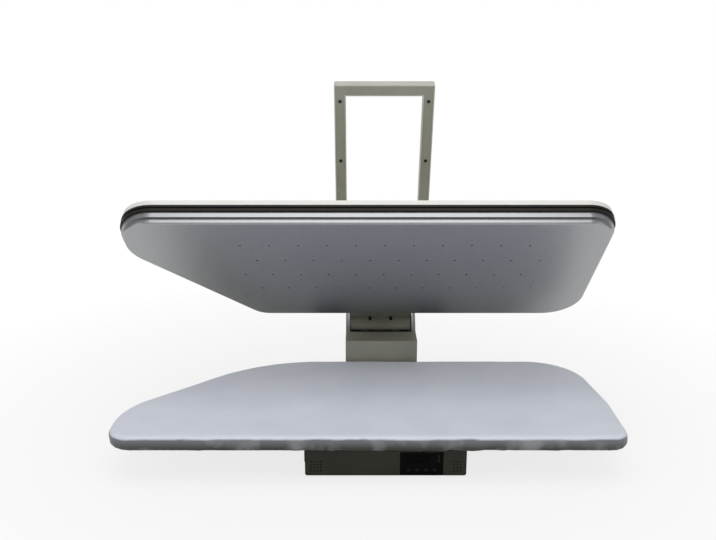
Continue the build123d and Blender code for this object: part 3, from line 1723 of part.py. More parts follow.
def bar_between(start, end, half_width, x0, x1):
    """A flat bar between two points of the Y-Z plane."""
    dy, dz = end[0] - start[0], end[1] - start[1]
    run = math.hypot(dy, dz)
    ny, nz = -dz / run * half_width, dy / run * half_width
    points = [(start[0] + ny, start[1] + nz), (end[0] + ny, end[1] + nz),
              (end[0] - ny, end[1] - nz), (start[0] - ny, start[1] - nz)]
    return side_plate(points, x0, x1)


def handle_cranks():
    """Two cranks on the cross shaft, each with the pin that drives its link."""
    start, end = pivot_at_rest(), crank_end()
    x0 = centre_x + crank_inner
    x1 = x0 + crank_thickness
    crank = bar_between(start, end, crank_end_radius, x0, x1)
    crank += tube_x(crank_hub_radius, x0, x1, *start) + tube_x(crank_end_radius, x0, x1, *end)
    crank -= tube_x(cross_shaft_radius + press_gap, x0 - 1, x1 + 1, *start)
    crank += tube_x(crank_pin_radius, centre_x + link_inner - 1, x0, *end)
    return both_sides(crank)


def toggle_links():
    """Two links between the cranks and the column's bracket."""
    start, end = link_pivot(), crank_end()
    x0 = centre_x + link_inner
    x1 = x0 + link_thickness
    link = bar_between(start, end, link_half_width, x0, x1)
    link += tube_x(link_end_radius, x0, x1, *start) + tube_x(link_end_radius, x0, x1, *end)
    link -= tube_x(link_pin_radius + running_gap, x0 - 1, x1 + 1, *start)
    link -= tube_x(crank_pin_radius + link_slack, x0 - 1, x1 + 1, *end)
    return both_sides(link)


nodes = {
    "board_cover": board_cover,
    "board_tray": board_tray,
    "board_felt": board_felt,
    "board_foam": board_foam,
    "board_rails": board_rails,
    "board_standoffs": board_standoffs,
    "board_bolts": board_bolts,
    "base_housing": base_housing,
    "base_bottom_plate": base_bottom_plate,
    "rubber_feet": rubber_feet,
    "foot_screws": foot_screws,
    "control_bezel": control_bezel,
    "display_window": display_window,
    "indicator_lenses": indicator_lenses,
    "control_pcb": control_pcb,
    "power_switch_frame": power_switch_frame,
    "power_rocker": power_rocker,
    "water_tank": water_tank,
    "tank_cap": tank_cap,
    "tank_dock": tank_dock,
    "pump": pump,
    "suction_hose": suction_hose,
    "pressure_hose": pressure_hose,
    "hose_union": hose_union,
    "power_board": power_board,
    "mains_lead_bush": mains_lead_bush,
    "column_side_plates": column_side_plates,
    "column_bolts": column_bolts,
    "column_front_cover": column_front_cover,
    "column_rear_cover": column_rear_cover,
    "hinge_pins": hinge_pins,
    "open_stop_bar": open_stop_bar,
    "link_bracket": link_bracket,
    "link_base_pin": link_base_pin,
    "heated_plate": heated_plate,
    "heating_element": heating_element,
    "steam_chamber_lid": steam_chamber_lid,
    "insulation_blanket": insulation_blanket,
    "thermostat": thermostat,
    "thermal_fuse": thermal_fuse,
    "steam_inlet": steam_inlet,
    "insulating_band": insulating_band,
    "head_frame": head_frame,
    "lever_plates": lever_plates,
    "lever_bolts": lever_bolts,
    "hinge_bushes": hinge_bushes,
    "lift_springs": lift_springs,
    "head_top_cover": head_top_cover,
    "top_cover_screws": top_cover_screws,
    "neck_cover": neck_cover,
    "handle_frame": handle_frame,
    "handle_under_cover": handle_under_cover,
    "handle_screws": handle_screws,
    "handle_cross_shaft": handle_cross_shaft,
    "handle_cranks": handle_cranks,
    "toggle_links": toggle_links,
}

for name, make in nodes.items():
    save(make(), name)
for n in range(button_count):
    save(control_button(n), f"control_button_{n + 1}")
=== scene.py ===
# %% [markdown]
# # A steam ironing press, open
# The press comes in as a finished frame: every hard part is a node that is already in its place, in
# metres, with Z up. This lesson gives those nodes real finishes, makes the cloth and padding that the frame
# only stands in for, and sets up a camera, a floor and soft light.

import json
import math

import bpy
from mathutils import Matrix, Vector, noise


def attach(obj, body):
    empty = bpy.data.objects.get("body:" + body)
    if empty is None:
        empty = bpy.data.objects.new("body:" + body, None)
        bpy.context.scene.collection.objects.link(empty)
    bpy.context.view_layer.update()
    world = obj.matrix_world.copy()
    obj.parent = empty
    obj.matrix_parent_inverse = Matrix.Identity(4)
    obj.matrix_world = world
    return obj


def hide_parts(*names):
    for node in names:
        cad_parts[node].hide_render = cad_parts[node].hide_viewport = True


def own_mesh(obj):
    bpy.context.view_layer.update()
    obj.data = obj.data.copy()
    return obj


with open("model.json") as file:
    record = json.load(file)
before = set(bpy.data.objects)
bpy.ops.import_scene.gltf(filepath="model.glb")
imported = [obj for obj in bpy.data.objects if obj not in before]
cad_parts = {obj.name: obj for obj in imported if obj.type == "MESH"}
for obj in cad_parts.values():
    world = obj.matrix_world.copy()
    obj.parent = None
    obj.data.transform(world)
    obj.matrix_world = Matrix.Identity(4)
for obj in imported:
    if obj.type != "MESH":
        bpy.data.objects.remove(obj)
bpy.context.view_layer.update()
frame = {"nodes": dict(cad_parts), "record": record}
nodes = frame["nodes"]
bpy.ops.object.select_all(action="DESELECT")

# %% [markdown]
# ## The camera
# The photograph looks at the press from the front and a little above, from about a metre and a half away.
# The lens is given on a 36 mm wide sensor, and nothing is shifted, so other views can turn the same camera.

# %% Camera
camera_data = bpy.data.cameras.new("photo_camera")
camera_data.lens = 44.05
camera_data.sensor_width = 36.0
camera = bpy.data.objects.new("photo_camera", camera_data)
bpy.context.collection.objects.link(camera)
camera.location = (-0.018, -1.790, 0.853)
camera_tilt = 15.7  # degrees down from level
camera.rotation_euler = (math.radians(90 - camera_tilt), 0, 0)
bpy.context.scene.camera = camera
print("camera at", tuple(camera.location), "lens", camera_data.lens)

# %% [markdown]
# ## Colours and nodes
# Colours are picked as on a screen, in sRGB hex, but the shader works in linear light, so one function
# turns them. A second function adds a node: settings are its menus, inputs are the sockets it takes, given
# as a value or as a link, and outputs says where its results go.

# %% Helpers for materials


def linear(colour):
    """Turn an sRGB hex colour into linear RGBA."""
    channels = [int(colour[i:i + 2], 16) / 255 for i in (1, 3, 5)]
    return tuple(c / 12.92 if c <= 0.04045 else ((c + 0.055) / 1.055) ** 2.4 for c in channels) + (1.0,)


def add_node(tree, kind, settings=None, inputs=None, outputs=None):
    """Add one node: choose its settings, fill its input sockets and link its outputs to other sockets."""
    made = tree.nodes.new(kind)
    for name, value in (settings or {}).items():
        setattr(made, name, value)
    for name, value in (inputs or {}).items():
        if isinstance(value, bpy.types.NodeSocket):
            tree.links.new(value, made.inputs[name])
        else:
            made.inputs[name].default_value = value
    for name, socket in (outputs or {}).items():
        tree.links.new(made.outputs[name], socket)
    return made


def start_material(name, colour, **sockets):
    """A material with its plain values set; returns material, tree, shader sockets and coordinates."""
    material = bpy.data.materials.new(name)
    material.use_nodes = True
    tree = material.node_tree
    shader = tree.nodes["Principled BSDF"].inputs
    shader["Base Color"].default_value = linear(colour)
    for socket, value in sockets.items():
        shader[socket.replace("_", " ")].default_value = value
    place = add_node(tree, "ShaderNodeTexCoord").outputs["Object"]
    return material, tree, shader, place


def per_metre(size_mm):
    """A texture scale at which one step of the pattern has this size in millimetres."""
    return 1000.0 / size_mm


MIX = {"data_type": "RGBA"}  # a colour mix: factor in socket 0, colours in 6 and 7, result in 2
print("white is", linear("#FFFFFF")[:3], "and a 2 mm pattern has scale", per_metre(2))

# %% [markdown]
# ## Silver cloth
# The board's cover is cotton with an aluminised silicone coating. It is pale and a little glossy, but the
# weave breaks the shine up. Its threads are half a millimetre apart, far too fine to show, so they are drawn
# as soft ribs 19 mm apart both ways, and a large soft pattern shows where the coating has dulled. Round the
# board's edge, where the cloth turns down and under, shade is painted into its colour, darkest at the bottom.
# The painted shade's upper edge rises and falls with a noise, and lighter patches are painted into it as
# highlights of folds. The painted shade goes by height, so it reads the object coordinate Z.

# %% Aluminised cotton
# Coated cotton is pale and softly glossy, with duller patches where it has been ironed on.
silver_cloth, tree, shader, place = start_material(
    "aluminised_cotton_woven", "#D8DBE4", Roughness=0.52, Metallic=0.05, Sheen_Weight=0.25,
    Sheen_Roughness=0.5)
dulled = add_node(tree, "ShaderNodeTexNoise", {}, {"Vector": place, "Scale": per_metre(90), "Detail": 4.0})
silver = add_node(tree, "ShaderNodeMix", MIX, {0: dulled.outputs["Fac"], 6: linear("#D6DBE8"),
                                               7: linear("#EAEDF6")})
add_node(tree, "ShaderNodeMapRange", {}, {"Value": dulled.outputs["Fac"], "To Min": 0.44, "To Max": 0.60},
         {"Result": shader["Roughness"]})
rib_scale = per_metre(60)  # a wave texture's bands lie 2 pi / 20 of its step apart, here 19 mm
warp = add_node(tree, "ShaderNodeTexWave", {"bands_direction": "X"},
                {"Vector": place, "Scale": rib_scale, "Distortion": 0.6, "Detail": 1.0})
weft = add_node(tree, "ShaderNodeTexWave", {"bands_direction": "Y"},
                {"Vector": place, "Scale": rib_scale, "Distortion": 0.6, "Detail": 1.0})
weave = add_node(tree, "ShaderNodeMath", {"operation": "MAXIMUM"},
                 {0: warp.outputs["Fac"], 1: weft.outputs["Fac"]})
add_node(tree, "ShaderNodeBump", {},
         {"Strength": 0.5, "Distance": 0.00012, "Height": weave.outputs["Value"]},
         {"Normal": shader["Normal"]})

# %% Painted shade round the cloth's side
side_shade_foot, side_shade_top = 0.080, 0.094  # heights between which the painted shade grows paler
side_shade_uneven = 0.007  # how much its upper edge rises and falls
side_shade_ends = (0.1002, 0.1034)  # height, with the rise and fall added, where the painted shade gives way to silver
height = add_node(tree, "ShaderNodeSeparateXYZ", {}, {0: place}).outputs["Z"]
uneven = add_node(tree, "ShaderNodeTexNoise", {}, {"Vector": place, "Scale": per_metre(55), "Detail": 4.0})
side_shade_edge_height = add_node(tree, "ShaderNodeMath", {"operation": "MULTIPLY_ADD"},
                 {0: uneven.outputs["Fac"], 1: side_shade_uneven, 2: height})
# painted shade: the cloth's side and underside are darkened, most at the bottom, where they turn away from
# the light
up_side_shade = add_node(tree, "ShaderNodeMapRange", {},
                     {"Value": height, "From Min": side_shade_foot, "From Max": side_shade_top})
painted_side_shade = add_node(tree, "ShaderNodeMix", MIX,
                {0: up_side_shade.outputs["Result"], 6: linear("#32312A"), 7: linear("#72747A")})
# painted highlight: lighter patches in the painted shade stand for folds that catch the light
slow = add_node(tree, "ShaderNodeTexNoise", {}, {"Vector": place, "Scale": per_metre(60), "Detail": 3.0})
painted_fold_highlight = add_node(tree, "ShaderNodeMapRange", {},
                  {"Value": slow.outputs["Fac"], "From Min": 0.50, "From Max": 0.72, "To Max": 0.6})
painted_side_shade_and_highlights = add_node(tree, "ShaderNodeMix", MIX,
                  {0: painted_fold_highlight.outputs["Result"], 6: painted_side_shade.outputs[2], 7: linear("#A9ABAF")})
above = add_node(tree, "ShaderNodeMapRange", {},
                 {"Value": side_shade_edge_height.outputs["Value"], "From Min": side_shade_ends[0], "From Max": side_shade_ends[1]})
add_node(tree, "ShaderNodeMix", MIX, {0: above.outputs["Result"], 6: painted_side_shade_and_highlights.outputs[2], 7: silver.outputs[2]},
         {2: shader["Base Color"]})
print("made", silver_cloth.name)

# %% [markdown]
# ## Padding under the cover
# Foam, felt and mineral fibre are all soft and dull, but not alike: foam has open cells of about a
# millimetre, drawn here at 2.5 mm, felt is a mat of short hairs, and mineral fibre is a coarse blanket with a
# yellow tone.

# %% Foam, felt and mineral fibre
# Cut foam shows its cells as fine pits and takes no shine at all.
foam, tree, shader, place = start_material("polyurethane_foam_cut", "#D9D2B4", Roughness=0.95)
cells = add_node(tree, "ShaderNodeTexVoronoi", {}, {"Vector": place, "Scale": per_metre(2.5)})
add_node(tree, "ShaderNodeMix", MIX,
         {0: cells.outputs["Distance"], 6: linear("#A89F80"), 7: linear("#FFFBE6")},
         {2: shader["Base Color"]})
add_node(tree, "ShaderNodeBump", {},
         {"Strength": 0.8, "Distance": 0.0006, "Height": cells.outputs["Distance"]},
         {"Normal": shader["Normal"]})

# Pressed felt is matt with a faint pale fringe where its hairs catch the light.
felt, tree, shader, place = start_material("wool_felt_pressed", "#8E8A84", Roughness=1.0, Sheen_Weight=0.3)
hairs = add_node(tree, "ShaderNodeTexNoise", {},
                 {"Vector": place, "Scale": per_metre(3), "Detail": 8.0, "Roughness": 0.7})
add_node(tree, "ShaderNodeMix", MIX, {0: hairs.outputs["Fac"], 6: linear("#54504B"), 7: linear("#C5C1B9")},
         {2: shader["Base Color"]})
add_node(tree, "ShaderNodeBump", {}, {"Strength": 0.7, "Distance": 0.0008, "Height": hairs.outputs["Fac"]},
         {"Normal": shader["Normal"]})

# Needled mineral fibre is a tangle of coarse yellowish strands.
fibre, tree, shader, place = start_material("mineral_fibre_needled", "#CDBF93", Roughness=1.0)
strands = add_node(tree, "ShaderNodeTexNoise", {},
                   {"Vector": place, "Scale": per_metre(6), "Detail": 9.0, "Roughness": 0.75,
                    "Distortion": 1.5})
add_node(tree, "ShaderNodeMix", MIX,
         {0: strands.outputs["Fac"], 6: linear("#827243"), 7: linear("#FFFBD9")}, {2: shader["Base Color"]})
add_node(tree, "ShaderNodeBump", {},
         {"Strength": 0.8, "Distance": 0.0015, "Height": strands.outputs["Fac"]},
         {"Normal": shader["Normal"]})
print("made", foam.name, felt.name, fibre.name)

# %% [markdown]
# ## Metals
# The ironing plate is cast aluminium, ground flat and given a satin heat-proof coat, so it reflects the
# board below it as a soft gradient. Sheet parts are zinc plated steel with its cloudy spangle, pins and
# shafts are ground steel, the handle's screws are black, and the castings are left grey and grainy.

# %% Coated ironing plate
# Satin coat over ground metal: a soft mirror with hardly a mark.
plate_coat, tree, shader, place = start_material("aluminium_plate_satin_coat", "#A2A3A4", Metallic=1.0,
                                                 Roughness=0.34)
stretched = add_node(tree, "ShaderNodeMapping", {}, {"Vector": place, "Scale": (14.0, 1.2, 1.2)})
grind = add_node(tree, "ShaderNodeTexNoise", {},
                 {"Vector": stretched.outputs["Vector"], "Scale": per_metre(60), "Detail": 5.0})
add_node(tree, "ShaderNodeMix", MIX, {0: grind.outputs["Fac"], 6: linear("#9C9E9F"), 7: linear("#A7A8A9")},
         {2: shader["Base Color"]})
add_node(tree, "ShaderNodeMapRange", {}, {"Value": grind.outputs["Fac"], "To Min": 0.31, "To Max": 0.37},
         {"Result": shader["Roughness"]})
add_node(tree, "ShaderNodeBump", {},
         {"Strength": 0.15, "Distance": 0.00002, "Height": grind.outputs["Fac"]},
         {"Normal": shader["Normal"]})

# %% Steel
# Zinc plating is grey and cloudy, each crystal a little lighter or duller than the next.
zinc, tree, shader, place = start_material("steel_zinc_plated", "#A9ABAD", Metallic=1.0, Roughness=0.42)
spangle = add_node(tree, "ShaderNodeTexVoronoi", {"feature": "SMOOTH_F1"},
                   {"Vector": place, "Scale": per_metre(14)})
add_node(tree, "ShaderNodeMix", MIX,
         {0: spangle.outputs["Color"], 6: linear("#919396"), 7: linear("#BFC1C3")}, {2: shader["Base Color"]})
add_node(tree, "ShaderNodeMapRange", {},
         {"Value": spangle.outputs["Distance"], "To Min": 0.34, "To Max": 0.50},
         {"Result": shader["Roughness"]})

# Ground steel is bright, with lines too fine to see that blur its reflections.
ground_steel, tree, shader, place = start_material("steel_ground", "#C2C3C5", Metallic=1.0, Roughness=0.24)
lines = add_node(tree, "ShaderNodeTexNoise", {}, {"Vector": place, "Scale": per_metre(4), "Detail": 6.0})
add_node(tree, "ShaderNodeMix", MIX, {0: lines.outputs["Fac"], 6: linear("#A0A1A4"), 7: linear("#E3E4E6")},
         {2: shader["Base Color"]})
add_node(tree, "ShaderNodeMapRange", {}, {"Value": lines.outputs["Fac"], "To Min": 0.14, "To Max": 0.36},
         {"Result": shader["Roughness"]})

# Black oxide leaves steel dark, with a dull metal shine on its edges.
oxide_steel, tree, shader, place = start_material("steel_black_oxide", "#262624", Metallic=0.6,
                                                  Roughness=0.5)
crust = add_node(tree, "ShaderNodeTexNoise", {}, {"Vector": place, "Scale": per_metre(2), "Detail": 4.0})
add_node(tree, "ShaderNodeMix", MIX, {0: crust.outputs["Fac"], 6: linear("#1B1B1A"), 7: linear("#32322F")},
         {2: shader["Base Color"]})
print("made", plate_coat.name, zinc.name, ground_steel.name, oxide_steel.name)

# %% Castings, brass and bronze
# A die casting that is left bare is grey and faintly grained.
casting, tree, shader, place = start_material("aluminium_die_cast", "#A6A6A5", Metallic=0.9, Roughness=0.55)
grain = add_node(tree, "ShaderNodeTexNoise", {}, {"Vector": place, "Scale": per_metre(3), "Detail": 6.0})
add_node(tree, "ShaderNodeMix", MIX, {0: grain.outputs["Fac"], 6: linear("#828281"), 7: linear("#C8C8C7")},
         {2: shader["Base Color"]})
add_node(tree, "ShaderNodeBump", {}, {"Strength": 0.5, "Distance": 0.0002, "Height": grain.outputs["Fac"]},
         {"Normal": shader["Normal"]})

# Turned brass is yellow and bright, with brown where it has tarnished.
brass, tree, shader, place = start_material("brass_turned", "#C9A65A", Metallic=1.0, Roughness=0.28)
tarnish = add_node(tree, "ShaderNodeTexNoise", {}, {"Vector": place, "Scale": per_metre(12), "Detail": 5.0})
add_node(tree, "ShaderNodeMix", MIX,
         {0: tarnish.outputs["Fac"], 6: linear("#876124"), 7: linear("#F8D98B")}, {2: shader["Base Color"]})

# Sintered bronze is a brown metal whose oil-filled pores dull it.
bronze, tree, shader, place = start_material("bronze_sintered", "#A77B45", Metallic=1.0, Roughness=0.45)
pores = add_node(tree, "ShaderNodeTexNoise", {}, {"Vector": place, "Scale": per_metre(2), "Detail": 7.0})
add_node(tree, "ShaderNodeMix", MIX, {0: pores.outputs["Fac"], 6: linear("#67421F"), 7: linear("#DCAD6C")},
         {2: shader["Base Color"]})
print("made", casting.name, brass.name, bronze.name)

# %% [markdown]
# ## Painted and moulded shells
# The column and the neck are moulded shells in a satin olive-grey paint, the handle is the same paint in a
# lighter tone, the base is nearly black, and the head's top cover is bare cream plastic. Spray leaves a fine
# orange peel, and dust and hands leave slow changes of tone.

# %% Painted shells
# Satin paint with a little metal flake: a broad soft shine and slow changes of tone.
olive_paint, tree, shader, place = start_material("moulded_shell_olive_grey_paint", "#9F9E91",
                                                  Roughness=0.46, Metallic=0.15)
mottle = add_node(tree, "ShaderNodeTexNoise", {}, {"Vector": place, "Scale": per_metre(70), "Detail": 5.0})
add_node(tree, "ShaderNodeMix", MIX, {0: mottle.outputs["Fac"], 6: linear("#8F8E81"), 7: linear("#AFAEA1")},
         {2: shader["Base Color"]})
add_node(tree, "ShaderNodeMapRange", {}, {"Value": mottle.outputs["Fac"], "To Min": 0.40, "To Max": 0.52},
         {"Result": shader["Roughness"]})
peel = add_node(tree, "ShaderNodeTexNoise", {}, {"Vector": place, "Scale": per_metre(3), "Detail": 2.0})
add_node(tree, "ShaderNodeBump", {}, {"Strength": 0.5, "Distance": 0.00006, "Height": peel.outputs["Fac"]},
         {"Normal": shader["Normal"]})

# The handle's paint is paler and polished a little by hands.
handle_paint, tree, shader, place = start_material("moulded_shell_light_olive_paint", "#C8C8BC",
                                                   Roughness=0.42, Metallic=0.10)
mottle = add_node(tree, "ShaderNodeTexNoise", {}, {"Vector": place, "Scale": per_metre(60), "Detail": 5.0})
add_node(tree, "ShaderNodeMix", MIX, {0: mottle.outputs["Fac"], 6: linear("#B8B8AC"), 7: linear("#D8D8CC")},
         {2: shader["Base Color"]})
add_node(tree, "ShaderNodeMapRange", {}, {"Value": mottle.outputs["Fac"], "To Min": 0.36, "To Max": 0.48},
         {"Result": shader["Roughness"]})
peel = add_node(tree, "ShaderNodeTexNoise", {}, {"Vector": place, "Scale": per_metre(3), "Detail": 2.0})
add_node(tree, "ShaderNodeBump", {}, {"Strength": 0.5, "Distance": 0.00006, "Height": peel.outputs["Fac"]},
         {"Normal": shader["Normal"]})

# A leather grain keeps the dark base from shining.
base_paint, tree, shader, place = start_material("moulded_shell_warm_black_grained", "#323127",
                                                 Roughness=0.5, Specular_IOR_Level=0.35)
mottle = add_node(tree, "ShaderNodeTexNoise", {}, {"Vector": place, "Scale": per_metre(80), "Detail": 4.0})
add_node(tree, "ShaderNodeMix", MIX, {0: mottle.outputs["Fac"], 6: linear("#2B2A20"), 7: linear("#3A392E")},
         {2: shader["Base Color"]})
add_node(tree, "ShaderNodeMapRange", {}, {"Value": mottle.outputs["Fac"], "To Min": 0.44, "To Max": 0.58},
         {"Result": shader["Roughness"]})
leather = add_node(tree, "ShaderNodeTexVoronoi", {"feature": "SMOOTH_F1"},
                   {"Vector": place, "Scale": per_metre(2.2)})
add_node(tree, "ShaderNodeBump", {},
         {"Strength": 0.6, "Distance": 0.00012, "Height": leather.outputs["Distance"]},
         {"Normal": shader["Normal"]})

# Moulded ABS is creamy white and half glossy, with a faint ripple.
cream_shell, tree, shader, place = start_material("abs_moulded_cream_white", "#EDECE6", Roughness=0.32)
mottle = add_node(tree, "ShaderNodeTexNoise", {}, {"Vector": place, "Scale": per_metre(120), "Detail": 4.0})
add_node(tree, "ShaderNodeMix", MIX, {0: mottle.outputs["Fac"], 6: linear("#E3E1D9"), 7: linear("#F6F5F1")},
         {2: shader["Base Color"]})
add_node(tree, "ShaderNodeMapRange", {}, {"Value": mottle.outputs["Fac"], "To Min": 0.26, "To Max": 0.38},
         {"Result": shader["Roughness"]})
peel = add_node(tree, "ShaderNodeTexNoise", {}, {"Vector": place, "Scale": per_metre(5), "Detail": 2.0})
add_node(tree, "ShaderNodeBump", {}, {"Strength": 0.3, "Distance": 0.00003, "Height": peel.outputs["Fac"]},
         {"Normal": shader["Normal"]})
print("made", olive_paint.name, handle_paint.name, base_paint.name, cream_shell.name)

# %% [markdown]
# ## Plastics, rubber and small things
# The band round the head is black phenolic resin, which takes the plate's heat. The panel is polished ABS
# with an acrylic window, the tank is smoky polycarbonate, the feet are rubber, and the circuit boards are
# green laminate. The black ones would all mirror the white studio, so their specular level is set low.

# %% Black plastics
# Phenolic resin flows in the mould and keeps faint clouds.
black_resin, tree, shader, place = start_material("phenolic_resin_moulded", "#1B1B18", Roughness=0.42,
                                                  Specular_IOR_Level=0.2)
flow = add_node(tree, "ShaderNodeTexNoise", {}, {"Vector": place, "Scale": per_metre(40), "Detail": 5.0})
add_node(tree, "ShaderNodeMix", MIX, {0: flow.outputs["Fac"], 6: linear("#131311"), 7: linear("#24241F")},
         {2: shader["Base Color"]})
add_node(tree, "ShaderNodeMapRange", {}, {"Value": flow.outputs["Fac"], "To Min": 0.36, "To Max": 0.48},
         {"Result": shader["Roughness"]})

# Nylon is matt black with a fine grain.
black_plastic, tree, shader, place = start_material("nylon_black_moulded", "#181818", Roughness=0.6,
                                                    Specular_IOR_Level=0.15)
grain = add_node(tree, "ShaderNodeTexNoise", {}, {"Vector": place, "Scale": per_metre(1.5), "Detail": 3.0})
add_node(tree, "ShaderNodeMix", MIX, {0: grain.outputs["Fac"], 6: linear("#0F0F0F"), 7: linear("#212121")},
         {2: shader["Base Color"]})
add_node(tree, "ShaderNodeBump", {}, {"Strength": 0.5, "Distance": 0.0001, "Height": grain.outputs["Fac"]},
         {"Normal": shader["Normal"]})

# Polished ABS is a black mirror with smears of grease.
black_gloss, tree, shader, place = start_material("abs_black_polished", "#0A0A0A", Roughness=0.14,
                                                  Specular_IOR_Level=0.06)
smear = add_node(tree, "ShaderNodeTexNoise", {}, {"Vector": place, "Scale": per_metre(25), "Detail": 4.0})
add_node(tree, "ShaderNodeMix", MIX, {0: smear.outputs["Fac"], 6: linear("#060606"), 7: linear("#0E0E0E")},
         {2: shader["Base Color"]})
add_node(tree, "ShaderNodeMapRange", {}, {"Value": smear.outputs["Fac"], "To Min": 0.08, "To Max": 0.20},
         {"Result": shader["Roughness"]})

# Smoked acrylic is deep black and sharper still.
window, tree, shader, place = start_material("acrylic_smoked_polished", "#050608", Roughness=0.08,
                                             Specular_IOR_Level=0.05)
smear = add_node(tree, "ShaderNodeTexNoise", {}, {"Vector": place, "Scale": per_metre(18), "Detail": 3.0})
add_node(tree, "ShaderNodeMix", MIX, {0: smear.outputs["Fac"], 6: linear("#030304"), 7: linear("#0A0A0B")},
         {2: shader["Base Color"]})
add_node(tree, "ShaderNodeMapRange", {}, {"Value": smear.outputs["Fac"], "To Min": 0.04, "To Max": 0.14},
         {"Result": shader["Roughness"]})

# Tinted acrylic lenses are deep red when unlit.
lens, tree, shader, place = start_material("acrylic_red_tinted", "#260C09", Roughness=0.15)
haze = add_node(tree, "ShaderNodeTexNoise", {}, {"Vector": place, "Scale": per_metre(2), "Detail": 2.0})
add_node(tree, "ShaderNodeMix", MIX, {0: haze.outputs["Fac"], 6: linear("#1C0806"), 7: linear("#30100C")},
         {2: shader["Base Color"]})

# Moulded rubber is matt, with a grey bloom that comes to its surface.
rubber, tree, shader, place = start_material("rubber_black_moulded", "#191918", Roughness=0.8)
bloom = add_node(tree, "ShaderNodeTexNoise", {}, {"Vector": place, "Scale": per_metre(10), "Detail": 6.0})
add_node(tree, "ShaderNodeMix", MIX, {0: bloom.outputs["Fac"], 6: linear("#0E0E0D"), 7: linear("#2B2B29")},
         {2: shader["Base Color"]})
add_node(tree, "ShaderNodeBump", {}, {"Strength": 0.4, "Distance": 0.0001, "Height": bloom.outputs["Fac"]},
         {"Normal": shader["Normal"]})
print("made", black_resin.name, black_plastic.name, black_gloss.name, window.name, lens.name, rubber.name)

# %% Grey plastic, tank, hose and laminate
# Grey nylon is matt and slightly waxy.
grey_plastic, tree, shader, place = start_material("nylon_grey_moulded", "#6C6F73", Roughness=0.5)
grain = add_node(tree, "ShaderNodeTexNoise", {}, {"Vector": place, "Scale": per_metre(2), "Detail": 4.0})
add_node(tree, "ShaderNodeMix", MIX, {0: grain.outputs["Fac"], 6: linear("#585B5F"), 7: linear("#818488")},
         {2: shader["Base Color"]})
add_node(tree, "ShaderNodeBump", {}, {"Strength": 0.5, "Distance": 0.00008, "Height": grain.outputs["Fac"]},
         {"Normal": shader["Normal"]})

# Smoky polycarbonate lets a little light through its walls.
tank_plastic, tree, shader, place = start_material("polycarbonate_smoke_moulded", "#3B4650", Roughness=0.22,
                                                   Transmission_Weight=0.25)
haze = add_node(tree, "ShaderNodeTexNoise", {}, {"Vector": place, "Scale": per_metre(50), "Detail": 4.0})
add_node(tree, "ShaderNodeMix", MIX, {0: haze.outputs["Fac"], 6: linear("#28313A"), 7: linear("#505D69")},
         {2: shader["Base Color"]})
add_node(tree, "ShaderNodeMapRange", {}, {"Value": haze.outputs["Fac"], "To Min": 0.16, "To Max": 0.30},
         {"Result": shader["Roughness"]})

# Extruded silicone is milky, and light sinks a little way into it.
silicone, tree, shader, place = start_material("silicone_hose_extruded", "#CFC8B8", Roughness=0.4,
                                               Subsurface_Weight=0.1)
haze = add_node(tree, "ShaderNodeTexNoise", {}, {"Vector": place, "Scale": per_metre(15), "Detail": 4.0})
add_node(tree, "ShaderNodeMix", MIX, {0: haze.outputs["Fac"], 6: linear("#B1A894"), 7: linear("#EAE6DC")},
         {2: shader["Base Color"]})

# Green laminate shows its copper tracks as paler lines under the varnish.
laminate, tree, shader, place = start_material("glass_epoxy_laminate_green", "#1F5A33", Roughness=0.35)
add_node(tree, "ShaderNodeTexBrick", {"offset": 0.5},
         {"Vector": place, "Scale": per_metre(12), "Color1": linear("#1B5230"), "Color2": linear("#236239"),
          "Mortar": linear("#2F7A49")}, {"Color": shader["Base Color"]})
print("made", grey_plastic.name, tank_plastic.name, silicone.name, laminate.name)

# %% [markdown]
# ## Putting finishes on the frame
# Each node names its slot in the frame's record. One table says which finish each slot takes, and the
# node's material is taken from it. The handle's screws alone differ from their slot: they are black. Nodes
# are never moved or changed, so that the working model stays true.

# %% Finishes by slot
finish_of_slot = {
    "silver_cloth": silver_cloth, "felt": felt, "foam": foam, "mineral_fibre": fibre, "zinc_steel": zinc,
    "bright_steel": ground_steel, "base_paint": base_paint, "olive_paint": olive_paint,
    "handle_shell": handle_paint, "white_cover": cream_shell, "black_resin": black_resin,
    "black_plastic": black_plastic, "black_gloss": black_gloss, "smoked_window": window, "clear_lens": lens,
    "button_plastic": black_plastic, "grey_plastic": grey_plastic, "tank_plastic": tank_plastic,
    "silicone": silicone, "black_rubber": rubber, "circuit": laminate, "brass": brass, "bronze": bronze,
    "plate_aluminium": plate_coat, "cast_aluminium": casting,
}
slot_of_node = {part["node"]: part["material_slot"] for part in frame["record"]["subparts"]}
for name, part in nodes.items():
    part.data.materials.clear()
    part.data.materials.append(finish_of_slot[slot_of_node[name]])
nodes["handle_screws"].data.materials[0] = oxide_steel
print("finished", len(slot_of_node), "nodes")

# %% [markdown]
# ## The board's outline
# Cover and padding follow the same plan: straight edges with a round at each corner and a long slant at the
# left. It is walked once, corner by corner, and then cut into even steps, so that folds have the same size
# everywhere.

# %% Outline of the board
# The corners in metres, clockwise from the front left, and the radius that rounds each.
board_corners = [(-0.5, -0.29), (-0.5, -0.155), (-0.236, 0.105), (0.472, 0.105), (0.5, -0.13), (0.5, -0.29)]
board_radii = [0.050, 0.150, 0.320, 0.125, 0.250, 0.038]


def rounded_corner(before, corner, after, radius, count=24):
    """The arc that rounds one corner."""
    to_before = (before - corner).normalized()
    to_after = (after - corner).normalized()
    half = to_before.angle(to_after) / 2
    middle = corner + (to_before + to_after).normalized() * (radius / math.sin(half))
    start = corner + to_before * (radius / math.tan(half)) - middle
    turn = -(math.pi - 2 * half)
    return [middle + Vector((start.x * math.cos(turn * t / count) - start.y * math.sin(turn * t / count),
                             start.x * math.sin(turn * t / count) + start.y * math.cos(turn * t / count)))
            for t in range(count + 1)]


